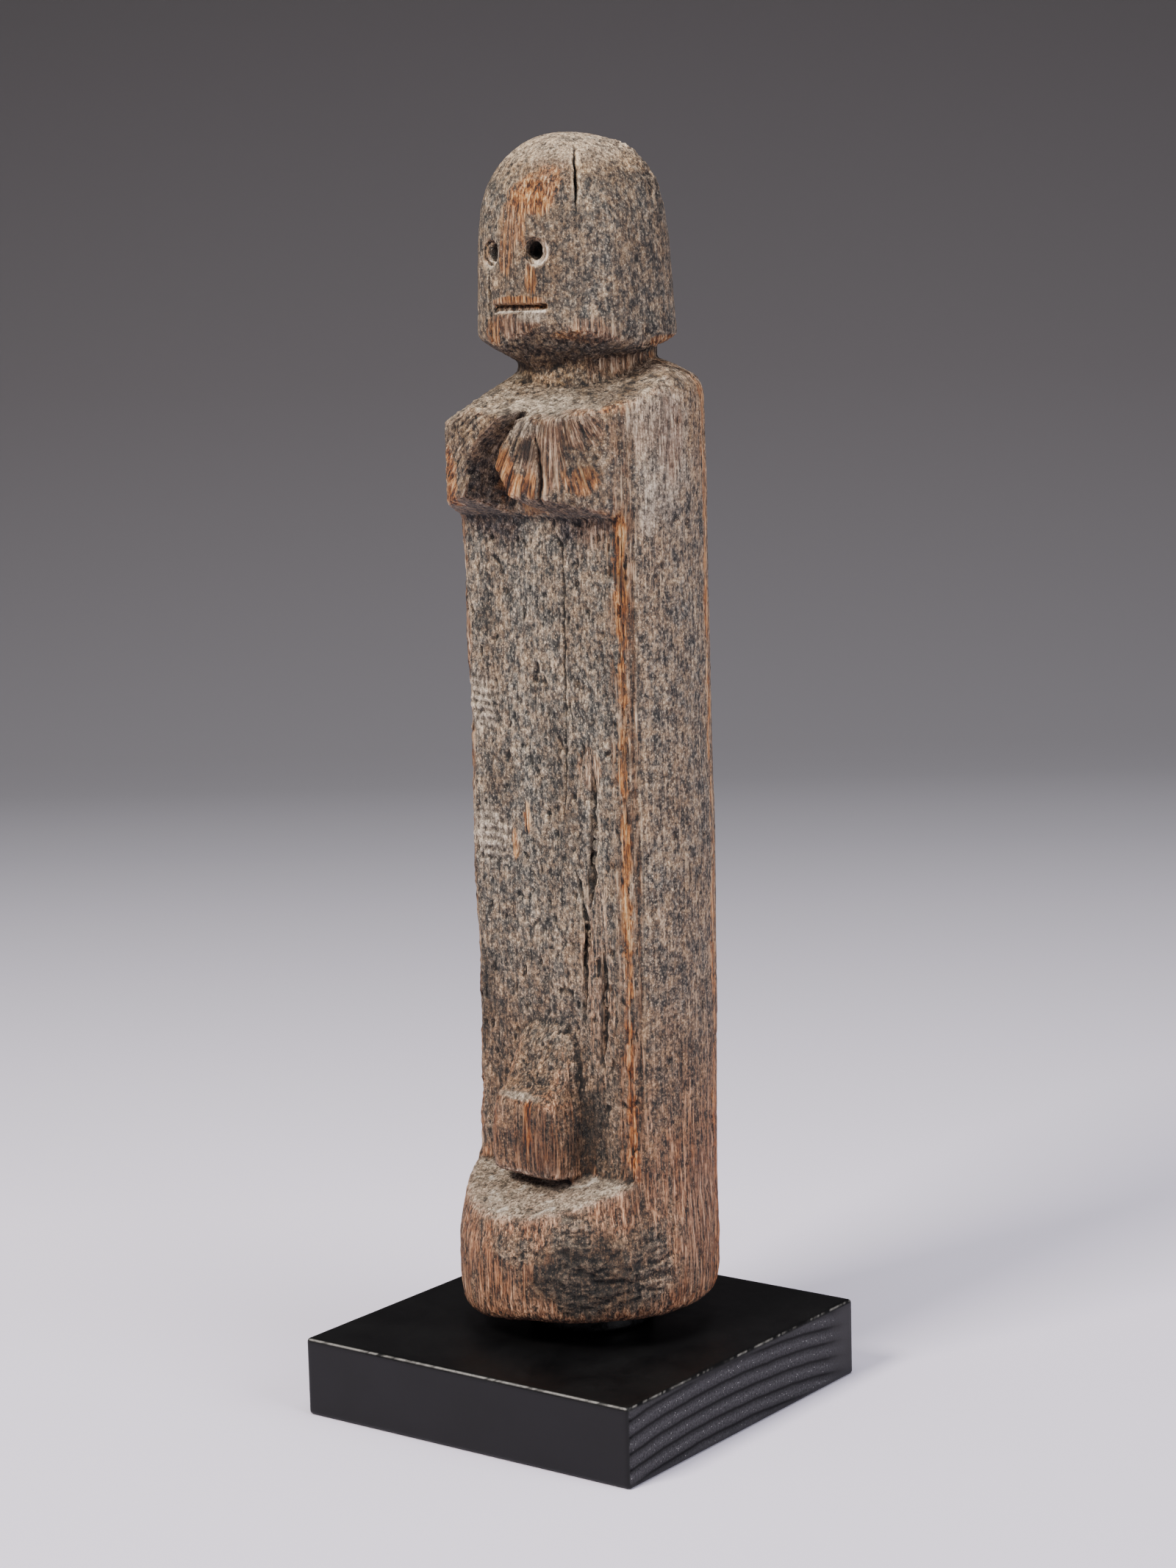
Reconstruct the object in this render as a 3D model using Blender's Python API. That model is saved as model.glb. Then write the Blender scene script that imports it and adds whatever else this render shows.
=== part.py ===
"""A standing figure carved from one log, raised on a round spacer above a square black plinth.

Metres, +Z up. The origin is the middle of the plinth's underside. The figure looks towards -Y.
"""
import math

import bmesh
import bpy
from mathutils import Vector

MM = 0.001

# The plinth, a square board with broken arrises
PLINTH_WIDTH = 90.0 * MM
PLINTH_DEPTH = 90.0 * MM
PLINTH_HEIGHT = 18.0 * MM
PLINTH_ARRIS = 0.6 * MM

# Faces across each broken arris
ARRIS_STEPS = 2

# The round spacer between the plinth and the figure
SPACER_DIAMETER = 29.0 * MM
SPACER_HEIGHT = 5.5 * MM
SPACER_ARRIS = 0.6 * MM
SPACER_SIDES = 64
SPACER_SHARP_ANGLE = math.radians(40.0)

# Pieces that rest on each other keep this gap
SEAT_GAP = 0.3 * MM

# The figure, where its axis stands on the plinth, and how far it is turned from the plinth's front
FIGURE_HEIGHT = 262.0 * MM
FIGURE_X = 0.5 * MM
FIGURE_Y = 2.8 * MM
FIGURE_TURN = math.radians(-9.5)

# One unit of the carving is a 262nd of the figure's height. The carving below is all in units,
# measured from the middle of the foot's underside: x to the figure's left, y to its back, z up.
UNIT = FIGURE_HEIGHT / 262.0

# The log: height, radius, and how far its middle lies behind the axis
LOG_SIDES = 48
LOG_RINGS = (
    (0.0, 26.6, 0.0), (0.9, 28.3, 0.0), (2.4, 29.3, 0.0), (6.0, 29.9, 0.0), (15.0, 29.9, 0.0),
    (20.0, 29.4, 0.7), (26.0, 28.8, 1.5), (34.0, 28.5, 2.0), (44.0, 28.2, 2.6), (60.0, 28.2, 3.0),
    (90.0, 28.6, 3.2), (130.0, 28.5, 3.2), (165.0, 28.5, 2.8), (183.0, 29.0, 2.0),
    (197.0, 29.0, 2.0), (205.3, 28.8, 2.2), (208.3, 26.8, 3.0), (210.8, 21.5, 4.0),
    (212.3, 17.0, 5.0),
)

# The front is cut back to a flat panel, from a sloping ledge above the foot to below the breasts
PANEL_FRONT = -10.3
LEDGE_HEIGHT = 30.8
LEDGE_SLOPE = 0.42
LEDGE_TILT = 0.05
PANEL_TOP = 178.2
BREAST_UNDERSIDE_SLOPES = (0.29, 0.47)

# Cutting shapes reach this far beyond the widest part of the log
CUT_MARGIN = 10.0
CUT_REACH = max(radius for _, radius, _ in LOG_RINGS) + CUT_MARGIN

# The valley between the breasts, which bends to the left as it rises: height, right and left edge at
# the front, right and left edge of the floor, and the floor
VALLEY_LIP = -28.0
VALLEY_RINGS = (
    (172.0, -8.5, 10.4, -6.5, 8.0, -10.4), (180.0, -7.0, 9.2, -5.4, 6.8, -12.0),
    (184.5, -5.8, 7.0, -4.6, 5.0, -13.2), (190.0, -5.2, 4.0, -3.8, 2.4, -14.6),
    (194.6, -2.0, 5.4, -0.8, 4.0, -16.6), (199.5, 4.4, 9.0, 5.4, 8.0, -19.6),
    (204.0, 9.6, 12.0, 10.2, 11.4, -22.0),
)

# The two strokes that slope the chest down from the neck: turn from the front, slope, and a point
CHEST_STROKES = (
    (27.0, 22.7, (11.9, -26.2, 199.7)),
    (-44.0, 34.0, (-19.2, -19.9, 198.9)),
)

# The upright knob on the panel, with the belly sloping out to it: height, half width, front
KNOB_MIDDLE = -0.8
KNOB_BACK = -8.0
KNOB_CORNER = 1.6
KNOB_SPREAD = 1.0
KNOB_RINGS = (
    (30.4, 9.8, -18.4), (31.6, 10.4, -20.4), (40.0, 10.2, -20.8), (48.0, 9.6, -20.5),
    (50.0, 8.9, -18.6), (52.0, 9.4, -16.4), (56.0, 9.4, -14.6), (61.0, 8.6, -12.6),
    (65.5, 6.0, -10.0),
)

# The neck and the head: height, half width, half depth, middle across, middle behind the axis
NECK_SIDES = 36
NECK_RINGS = (
    (201.0, 17.2, 17.2, 1.0, 5.4), (207.5, 16.4, 16.4, 1.0, 5.4), (211.0, 15.6, 15.6, 1.0, 5.4),
    (219.0, 15.6, 15.6, 1.0, 5.4),
)
HEAD_SIDES = 44
HEAD_POWER = 2.5
HEAD_RINGS = (
    (208.0, 18.8, 18.8, 0.7, 1.7), (213.0, 20.2, 20.7, 0.9, 2.2),
    (216.9, 20.6, 21.1, 1.0, 2.4), (231.0, 20.1, 20.5, 1.0, 2.2), (240.0, 19.6, 20.0, 1.0, 2.1),
    (246.0, 18.7, 19.1, 1.0, 2.0), (250.4, 17.4, 17.8, 1.0, 1.9), (254.4, 15.4, 15.6, 1.0, 1.9),
    (257.4, 12.9, 13.1, 1.0, 1.9), (259.8, 9.6, 9.8, 0.8, 1.6), (261.4, 5.6, 5.8, 0.6, 1.2),
    (262.0, 2.0, 2.0, 0.6, 1.0),
)

# The strokes under the jaw: turn from the front, slope of the cut, and a point on the jaw's edge
JAW_STROKES = (
    (22.0, 46.0, (8.6, -18.0, 219.8)),
    (46.0, 34.0, (16.5, -13.5, 218.2)),
    (70.0, 22.0, (20.5, -6.2, 215.6)),
    (100.0, 14.0, (21.3, 2.0, 214.4)),
    (136.0, 20.0, (17.4, 16.5, 216.8)),
    (-40.0, 30.0, (-4.7, -18.4, 215.9)),
    (180.0, 24.0, (1.0, 21.0, 216.0)),
    (-100.0, 40.0, (-19.0, 4.0, 217.0)),
)

# The eyes, each a drilled hole with a dished rim: distance out from the face, and radius
HEAD_FRONT = -18.6
EYE_HEIGHT = 235.9
EYE_SIDES = 24
EYES = ((8.5, 14.0), (-5.6, -24.0))
EYE_RINGS = ((1.0, 4.9), (-0.9, 2.9), (-2.1, 1.9), (-6.0, 1.7))

# The slit of the mouth: its ends with how much shallower it is there, its depth, and its two edges
MOUTH_HEIGHT = 223.6
MOUTH_ENDS = ((-3.6, 0.6), (11.7, 1.2))
MOUTH_DEPTH = 2.6
MOUTH_UPPER = 0.3
MOUTH_LOWER = -0.9

# Drying cracks: points on the surface as across, front and height, widest opening, and depth
HEAD_CRACK = ((17.6, -12.6, 245.0), (16.9, -11.8, 250.0), (15.0, -9.8, 254.6), (12.2, -7.6, 258.0))
HEAD_CRACK_TURN = 52.0
HEAD_CRACK_OPENING = 1.0
HEAD_CRACK_DEPTH = 4.5
PANEL_CRACKS = (
    ((13.2, 92.0), (14.5, 103.0), (15.7, 111.5), (15.2, 123.0)),
    ((10.8, 66.0), (11.4, 81.4), (12.5, 86.0), (9.3, 100.5)),
    ((16.5, 60.0), (17.4, 72.0), (17.7, 83.0)),
)
PANEL_CRACK_OPENING = 1.3
PANEL_CRACK_DEPTH = 3.5
CRACK_END_SHARE = 0.25
CRACK_PROUD = 1.5


def clear_scene():
    """Removes whatever the scene holds."""
    for item in list(bpy.data.objects):
        bpy.data.objects.remove(item, do_unlink=True)


def material(name, colour, roughness):
    """Principled material from a linear colour and a roughness."""
    made = bpy.data.materials.new(name)
    made.use_nodes = True
    shader = made.node_tree.nodes["Principled BSDF"]
    shader.inputs["Base Color"].default_value = (*colour, 1.0)
    shader.inputs["Roughness"].default_value = roughness
    shader.inputs["Metallic"].default_value = 0.0
    return made


def add_object(name, mesh, finish=None, parent=None):
    """Object from a bmesh, which is freed, with its faces turned outwards."""
    bmesh.ops.recalc_face_normals(mesh, faces=mesh.faces[:])
    data = bpy.data.meshes.new(name)
    mesh.to_mesh(data)
    mesh.free()
    made = bpy.data.objects.new(name, data)
    bpy.context.scene.collection.objects.link(made)
    made.parent = parent
    if finish is not None:
        data.materials.append(finish)
    return made


def ring(height, half_width, half_depth, across=0.0, back=0.0, sides=LOG_SIDES, power=2.0):
    """Points of a level rounded section. A power above 2 squares it off."""
    points = []
    for step in range(sides):
        turn = 2.0 * math.pi * step / sides
        x, y = math.sin(turn), -math.cos(turn)
        x = math.copysign(abs(x) ** (2.0 / power), x)
        y = math.copysign(abs(y) ** (2.0 / power), y)
        points.append(Vector((across + half_width * x, back + half_depth * y, height)) * UNIT)
    return points


def loft(rings):
    """Closed mesh through rings of as many points each, flat at both ends."""
    mesh = bmesh.new()
    loops = [[mesh.verts.new(point) for point in points] for points in rings]
    for lower, upper in zip(loops, loops[1:]):
        for step in range(len(lower)):
            after = (step + 1) % len(lower)
            mesh.faces.new((lower[step], lower[after], upper[after], upper[step]))
    mesh.faces.new(list(reversed(loops[0])))
    mesh.faces.new(loops[-1])
    return mesh


def facing(turn, lift):
    """Direction from its turn towards the figure's left and its lift, both in degrees."""
    turn, lift = math.radians(turn), math.radians(lift)
    return Vector((math.sin(turn) * math.cos(lift), -math.cos(turn) * math.cos(lift), math.sin(lift)))


def stroke(mesh, point, outward):
    """One flat stroke of the adze: takes off what lies beyond a plane and closes the cut."""
    everything = mesh.verts[:] + mesh.edges[:] + mesh.faces[:]
    bmesh.ops.bisect_plane(mesh, geom=everything, dist=1e-8, plane_co=Vector(point) * UNIT,
                           plane_no=outward, clear_outer=True)
    bmesh.ops.holes_fill(mesh, edges=[edge for edge in mesh.edges if edge.is_boundary], sides=0)


def combine(target, tool, operation):
    """Joins a hidden shape to an object, or cuts it away."""
    tool.hide_render = True
    tool.display_type = "WIRE"
    change = target.modifiers.new(tool.name, "BOOLEAN")
    change.operation = operation
    change.solver = "EXACT"
    change.object = tool


def torso():
    """The log from the foot to the shoulders, with the chest sloped down in front."""
    mesh = loft([ring(height, radius, radius, back=back) for height, radius, back in LOG_RINGS])
    for turn, slope, point in CHEST_STROKES:
        stroke(mesh, point, facing(turn, 90.0 - slope))
    return mesh


def panel_cut():
    """What is taken off the front, a prism right across the log."""
    reach = CUT_REACH + PANEL_FRONT
    ends = []
    for x, slope in zip((-CUT_REACH, CUT_REACH), BREAST_UNDERSIDE_SLOPES):
        ledge = LEDGE_HEIGHT + LEDGE_TILT * x
        profile = ((PANEL_FRONT, ledge), (-CUT_REACH, ledge - LEDGE_SLOPE * reach),
                   (-CUT_REACH, PANEL_TOP + slope * reach), (PANEL_FRONT, PANEL_TOP))
        ends.append([Vector((x, y, z)) * UNIT for y, z in profile])
    return loft(ends)


def valley_cut():
    """The valley between the breasts, a trough that narrows upwards and towards its floor."""
    rings = []
    for height, right, left, floor_right, floor_left, floor in VALLEY_RINGS:
        corners = ((right, -CUT_REACH), (left, -CUT_REACH), (left, VALLEY_LIP),
                   (floor_left, floor), (floor_right, floor), (right, VALLEY_LIP))
        rings.append([Vector((x, y, height)) * UNIT for x, y in corners])
    return loft(rings)


def knob():
    """The upright knob with rounded corners, and the belly that slopes out above it."""
    rings = []
    for height, half_width, front in KNOB_RINGS:
        corners = ((-half_width, front + KNOB_CORNER), (-half_width + KNOB_CORNER, front),
                   (half_width - KNOB_CORNER, front), (half_width, front + KNOB_CORNER),
                   (half_width + KNOB_SPREAD, KNOB_BACK), (-half_width - KNOB_SPREAD, KNOB_BACK))
        rings.append([Vector((KNOB_MIDDLE + x, y, height)) * UNIT for x, y in corners])
    return loft(rings)


def neck():
    """The short round neck, let into the shoulders and the head."""
    return loft([ring(*row, sides=NECK_SIDES) for row in NECK_RINGS])


def head():
    """The block of the head with its domed crown, cut in under the jaw stroke by stroke."""
    mesh = loft([ring(*row, sides=HEAD_SIDES, power=HEAD_POWER) for row in HEAD_RINGS])
    for turn, slope, point in JAW_STROKES:
        stroke(mesh, point, facing(turn, slope - 90.0))
    return mesh


def eye_cut(across, turn):
    """A round hole with a dished rim, square to the face's surface there."""
    middle = Vector((across, HEAD_FRONT, EYE_HEIGHT))
    outward = facing(turn, 0.0)
    aside = outward.cross(Vector((0.0, 0.0, 1.0)))
    rings = []
    for out, radius in EYE_RINGS:
        points = []
        for step in range(EYE_SIDES):
            around = 2.0 * math.pi * step / EYE_SIDES
            spoke = aside * math.cos(around) + Vector((0.0, 0.0, 1.0)) * math.sin(around)
            points.append((middle + outward * out + spoke * radius) * UNIT)
        rings.append(points)
    return loft(rings)


def mouth_cut():
    """The straight slit of the mouth, widest at the surface and sharp inside."""
    bottom = HEAD_FRONT + MOUTH_DEPTH
    rings = []
    for across, inset in MOUTH_ENDS:
        rows = ((-CUT_REACH, MOUTH_LOWER), (HEAD_FRONT, MOUTH_LOWER), (bottom - inset, 0.0),
                (HEAD_FRONT, MOUTH_UPPER), (-CUT_REACH, MOUTH_UPPER))
        rings.append([Vector((across, y, MOUTH_HEIGHT + z)) * UNIT for y, z in rows])
    return loft(rings)


def crack_cut(points, opening, depth, outward):
    """A drying crack: a thin wedge that follows its points and closes at both ends."""
    aside = outward.cross(Vector((0.0, 0.0, 1.0))).normalized()
    rings = []
    for step, point in enumerate(points):
        share = CRACK_END_SHARE if step in (0, len(points) - 1) else 1.0
        half = aside * (opening / 2.0 * share)
        top = Vector(point) + outward * CRACK_PROUD
        bottom = Vector(point) - outward * (depth * share)
        rings.append([(top - half) * UNIT, (top + half) * UNIT, bottom * UNIT])
    return loft(rings)


def make_plinth(paint):
    """The square board with its arrises broken."""
    mesh = bmesh.new()
    bmesh.ops.create_cube(mesh, size=1.0)
    bmesh.ops.scale(mesh, vec=(PLINTH_WIDTH, PLINTH_DEPTH, PLINTH_HEIGHT), verts=mesh.verts)
    bmesh.ops.translate(mesh, vec=(0.0, 0.0, PLINTH_HEIGHT / 2.0), verts=mesh.verts)
    bmesh.ops.bevel(mesh, geom=mesh.edges[:], offset=PLINTH_ARRIS, segments=ARRIS_STEPS, profile=0.5,
                    affect="EDGES", material=-1)
    return add_object("plinth", mesh, paint)


def make_spacer(paint):
    """The round spacer that holds the figure clear of the plinth, under the foot's middle."""
    mesh = bmesh.new()
    radius = SPACER_DIAMETER / 2.0
    bmesh.ops.create_cone(mesh, cap_ends=True, segments=SPACER_SIDES, radius1=radius, radius2=radius,
                          depth=SPACER_HEIGHT)
    rims = [edge for edge in mesh.edges if len(edge.link_faces) == 2
            and max(len(face.verts) for face in edge.link_faces) == SPACER_SIDES]
    bmesh.ops.bevel(mesh, geom=rims, offset=SPACER_ARRIS, segments=ARRIS_STEPS, profile=0.5,
                    affect="EDGES", material=-1)
    made = add_object("spacer", mesh, paint)
    made.location = (FIGURE_X, FIGURE_Y, PLINTH_HEIGHT + SEAT_GAP + SPACER_HEIGHT / 2.0)
    made.data.shade_smooth()
    made.data.set_sharp_from_angle(angle=SPACER_SHARP_ANGLE)
    return made


def make_figure(wood):
    """The figure in one piece: log, neck and head joined, and the carving cut into them."""
    axis = bpy.data.objects.new("figure_axis", None)
    bpy.context.scene.collection.objects.link(axis)
    axis.location = (FIGURE_X, FIGURE_Y, PLINTH_HEIGHT + 2.0 * SEAT_GAP + SPACER_HEIGHT)
    axis.rotation_euler = (0.0, 0.0, FIGURE_TURN)
    figure = add_object("figure", torso(), wood, axis)
    combine(figure, add_object("panel_cut", panel_cut(), parent=axis), "DIFFERENCE")
    combine(figure, add_object("valley_cut", valley_cut(), parent=axis), "DIFFERENCE")
    combine(figure, add_object("knob_shape", knob(), parent=axis), "UNION")
    combine(figure, add_object("neck_shape", neck(), parent=axis), "UNION")
    combine(figure, add_object("head_shape", head(), parent=axis), "UNION")
    combine(figure, add_object("mouth_cut", mouth_cut(), parent=axis), "DIFFERENCE")
    for index, (across, turn) in enumerate(EYES):
        combine(figure, add_object(f"eye_cut_{index}", eye_cut(across, turn), parent=axis), "DIFFERENCE")
    split = crack_cut(HEAD_CRACK, HEAD_CRACK_OPENING, HEAD_CRACK_DEPTH, facing(HEAD_CRACK_TURN, 0.0))
    combine(figure, add_object("head_crack_cut", split, parent=axis), "DIFFERENCE")
    for index, path in enumerate(PANEL_CRACKS):
        points = [(across, PANEL_FRONT, height) for across, height in path]
        split = crack_cut(points, PANEL_CRACK_OPENING, PANEL_CRACK_DEPTH, facing(0.0, 0.0))
        combine(figure, add_object(f"panel_crack_cut_{index}", split, parent=axis), "DIFFERENCE")
    return figure


def main():
    """Builds the plinth, the spacer and the figure."""
    clear_scene()
    black = material("black_paint", (0.012, 0.012, 0.013), 0.42)
    spacer_black = material("spacer_black", (0.010, 0.010, 0.011), 0.35)
    wood = material("weathered_wood", (0.10, 0.075, 0.055), 0.85)
    make_plinth(black)
    make_spacer(spacer_black)
    make_figure(wood)


main()
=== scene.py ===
"""Looks of a carved standing figure on a square black plinth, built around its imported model.

The figure is weathered wood under a dry crust. Its surface is displaced on a copy of the solid and then
painted by procedural layers. Lengths in the classes are millimetres in the figure's own frame: x to its
left, y to its back, z up from the middle of the foot.
"""

import logging
import math
from dataclasses import dataclass, field
from enum import Enum
from functools import partial
from typing import Any, Callable, Iterable, Sequence

import bmesh
import bpy
import numpy as np
from mathutils import Matrix, Vector


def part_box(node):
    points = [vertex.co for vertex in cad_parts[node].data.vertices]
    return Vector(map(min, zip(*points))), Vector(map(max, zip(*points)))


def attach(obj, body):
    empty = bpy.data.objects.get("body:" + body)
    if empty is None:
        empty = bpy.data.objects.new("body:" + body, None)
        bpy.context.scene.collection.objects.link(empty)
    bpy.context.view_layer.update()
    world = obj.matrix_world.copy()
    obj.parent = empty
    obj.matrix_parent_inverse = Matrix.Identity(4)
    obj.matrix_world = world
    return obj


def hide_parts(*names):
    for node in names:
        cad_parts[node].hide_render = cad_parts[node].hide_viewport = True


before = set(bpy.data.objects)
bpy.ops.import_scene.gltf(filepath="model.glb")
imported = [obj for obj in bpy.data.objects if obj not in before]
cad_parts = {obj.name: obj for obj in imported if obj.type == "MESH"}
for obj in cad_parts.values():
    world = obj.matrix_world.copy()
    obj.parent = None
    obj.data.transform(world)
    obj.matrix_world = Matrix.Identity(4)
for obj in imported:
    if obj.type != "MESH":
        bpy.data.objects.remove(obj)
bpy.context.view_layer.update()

LOG = logging.getLogger("figure")
MM = 0.001

Stops = Sequence[tuple[float, str]]
AddNode = Callable[..., bpy.types.bpy_prop_collection]

# Settings that several nodes share
VALUES = {"data_type": "FLOAT"}
COLOURS = {"data_type": "RGBA"}
TINT = {"data_type": "RGBA", "blend_type": "MULTIPLY"}
PRODUCT = {"operation": "MULTIPLY"}

# Where the figure's own frame lies on the plinth, as its solid has it
FIGURE_ORIGIN = (0.5, 2.8, 24.1)
FIGURE_TURN = math.radians(-9.5)


def srgb(text: str) -> tuple[float, float, float, float]:
    """Turns an sRGB hex value to a linear colour.

    Args:
        text: Six hex digits, with or without a leading hash.

    Returns:
        Linear red, green and blue, and an alpha of 1.
    """
    digits = text.lstrip("#")
    shares = [int(digits[start:start + 2], 16) / 255.0 for start in (0, 2, 4)]
    linear = [value / 12.92 if value <= 0.04045 else ((value + 0.055) / 1.055) ** 2.4 for value in shares]
    return (linear[0], linear[1], linear[2], 1.0)


def add_node(tree: bpy.types.NodeTree, kind: str, settings: dict[str, Any] | None = None,
             inputs: dict[Any, Any] | None = None,
             stops: Stops = ()) -> bpy.types.bpy_prop_collection:
    """Adds one node with its settings, values and links.

    Args:
        tree: Node tree that takes it.
        kind: Blender's name of the node type, without its leading ShaderNode.
        settings: Properties of the node.
        inputs: Input name or index to a value, or to the output socket that feeds it.
        stops: Places and sRGB hex values of a colour ramp.

    Returns:
        Output sockets of the new node.
    """
    made = tree.nodes.new("ShaderNode" + kind)
    for name, value in (settings or {}).items():
        setattr(made, name, value)
    for key, value in (inputs or {}).items():
        if isinstance(value, bpy.types.NodeSocket):
            tree.links.new(value, made.inputs[key])
        else:
            made.inputs[key].default_value = value
    if stops:
        elements = made.color_ramp.elements
        while len(elements) < len(stops):
            elements.new(1.0)
        for element, (place, colour) in zip(elements, stops):
            element.position = place
            element.color = srgb(colour)
    return made.outputs


def new_material(name: str) -> tuple[bpy.types.Material, AddNode]:
    """Starts a material on an empty node tree.

    Args:
        name: Name of the material.

    Returns:
        The material, and add_node for its tree.
    """
    made = bpy.data.materials.new(name)
    made.use_nodes = True
    made.node_tree.nodes.clear()
    return made, partial(add_node, made.node_tree)


def object_mm(add: AddNode) -> bpy.types.NodeSocket:
    """Adds the piece's own places in millimetres, in which a pattern's scale is one over its size."""
    places = add("TexCoord")["Object"]
    return add("Mapping", inputs={"Vector": places, "Scale": (1.0 / MM,) * 3})[0]


def add_surface(add: AddNode, inputs: dict[str, Any], height: bpy.types.NodeSocket | None = None,
                strength: float = 1.0, relief_mm: float = 0.0) -> None:
    """Ends a material with its shader, raised by bumps where a height is given.

    Args:
        add: The material's add_node.
        inputs: Values and links of the shader.
        height: Pattern of the bumps.
        strength: How much of the bumps counts.
        relief_mm: Rise from the pattern's 0 to its 1.
    """
    if height is not None:
        inputs["Normal"] = add("Bump", inputs={
            "Height": height, "Strength": strength, "Distance": relief_mm * MM})[0]
    shader = add("BsdfPrincipled", inputs=inputs)[0]
    add("OutputMaterial", inputs={"Surface": shader})


def smoothstep(low: float, high: float, value: np.ndarray) -> np.ndarray:
    """Eases a value from 0 at low to 1 at high.

    Args:
        low: Value that gives 0.
        high: Value that gives 1, below low for a falling ease.
        value: Values to ease.

    Returns:
        Shares from 0 to 1.
    """
    share = np.clip((value - low) / (high - low), 0.0, 1.0)
    return share * share * (3.0 - 2.0 * share)


def span(rise: tuple[float, float], fall: tuple[float, float], value: np.ndarray) -> np.ndarray:
    """1 between an eased rise and an eased fall of the value, 0 outside them."""
    return smoothstep(*rise, value) * smoothstep(*fall, value)


class LatticeNoise:
    """Gradient noise on a lattice, the same on every run for the same seed."""

    CELLS = 256

    def __init__(self, seed: int) -> None:
        """Draws the lattice.

        Args:
            seed: Number that fixes the draw.
        """
        draw = np.random.default_rng(seed)
        order = draw.permutation(self.CELLS)
        self.order = np.concatenate([order, order, order])
        slopes = draw.normal(size=(self.CELLS, 3))
        self.slopes = (slopes / np.linalg.norm(slopes, axis=1, keepdims=True)).astype(np.float32)

    def at(self, points: np.ndarray, wave: tuple[float, float, float]) -> np.ndarray:
        """Reads the noise.

        Args:
            points: Places in millimetres, one row each.
            wave: Length of one lattice cell along x, y and z, in millimetres.

        Returns:
            Values from about -1 to 1.
        """
        scaled = points / np.array(wave)
        cell = np.floor(scaled).astype(np.int64)
        inside = (scaled - cell).astype(np.float32)
        cell %= self.CELLS
        ease = inside ** 3 * (inside * (inside * 6.0 - 15.0) + 10.0)
        total = np.zeros(len(points), dtype=np.float32)
        for corner in range(8):
            step = np.array([corner & 1, corner >> 1 & 1, corner >> 2 & 1])
            place = (cell + step) % self.CELLS
            pick = self.order[self.order[self.order[place[:, 0]] + place[:, 1]] + place[:, 2]]
            weight = np.prod(np.where(step, ease, 1.0 - ease), axis=1)
            total += weight * np.einsum("ij,ij->i", self.slopes[pick], inside - step.astype(np.float32))
        return total * 1.6

    def layered(self, points: np.ndarray, wave: tuple[float, float, float], layers: int = 3,
                fade: float = 0.55) -> np.ndarray:
        """Adds finer and weaker copies of the noise.

        Args:
            points: Places in millimetres.
            wave: Lattice cell of the coarsest layer.
            layers: How many layers.
            fade: Strength of each layer against the one before.

        Returns:
            Values from about -1 to 1.
        """
        total = np.zeros(len(points), dtype=np.float32)
        strength, whole = 1.0, 0.0
        for layer in range(layers):
            finer = tuple(length / 2.03 ** layer for length in wave)
            total += strength * self.at(points + 17.3 * layer, finer)
            whole += strength
            strength *= fade
        return total / whole


@dataclass(frozen=True)
class Patch:
    """A roundish area of the carving with ragged edges, in millimetres."""

    centre: tuple[float, float, float]
    reach: tuple[float, float, float]
    amount: float = 1.0
    ragged: float = 0.35

    def cover(self, points: np.ndarray, rough: np.ndarray) -> np.ndarray:
        """How much of the patch lies on each point.

        Args:
            points: Places on the surface.
            rough: Noise that frays the edge.

        Returns:
            Shares from 0 to the patch's amount.
        """
        away = np.linalg.norm((points - np.array(self.centre)) / np.array(self.reach), axis=1)
        return self.amount * smoothstep(1.15, 0.55, away + self.ragged * rough)


@dataclass(frozen=True)
class Crack:
    """A drying crack: points as turn round the log in degrees and height, half width and depth in mm."""

    path: tuple[tuple[float, float], ...]
    half_width: float = 0.7
    depth: float = 2.0


class Mask(Enum):
    """What is painted by area, each a value on the mesh that the material reads."""

    BARE = "bare"
    ORANGE = "orange"
    RED = "red"
    # Paler: dust, and painted highlights on the lip, the eye rims, the foot's rim and the knob's top edge
    PALE = "pale"
    # Darker: dirt, and painted shade under overhangs, in cracks, hollows, the mouth and the eyes
    DARK = "dark"
    WARM = "warm"
    FAN = "fan"


RELIEF = "relief"
FAN_PLACE = "fan_place"


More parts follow.
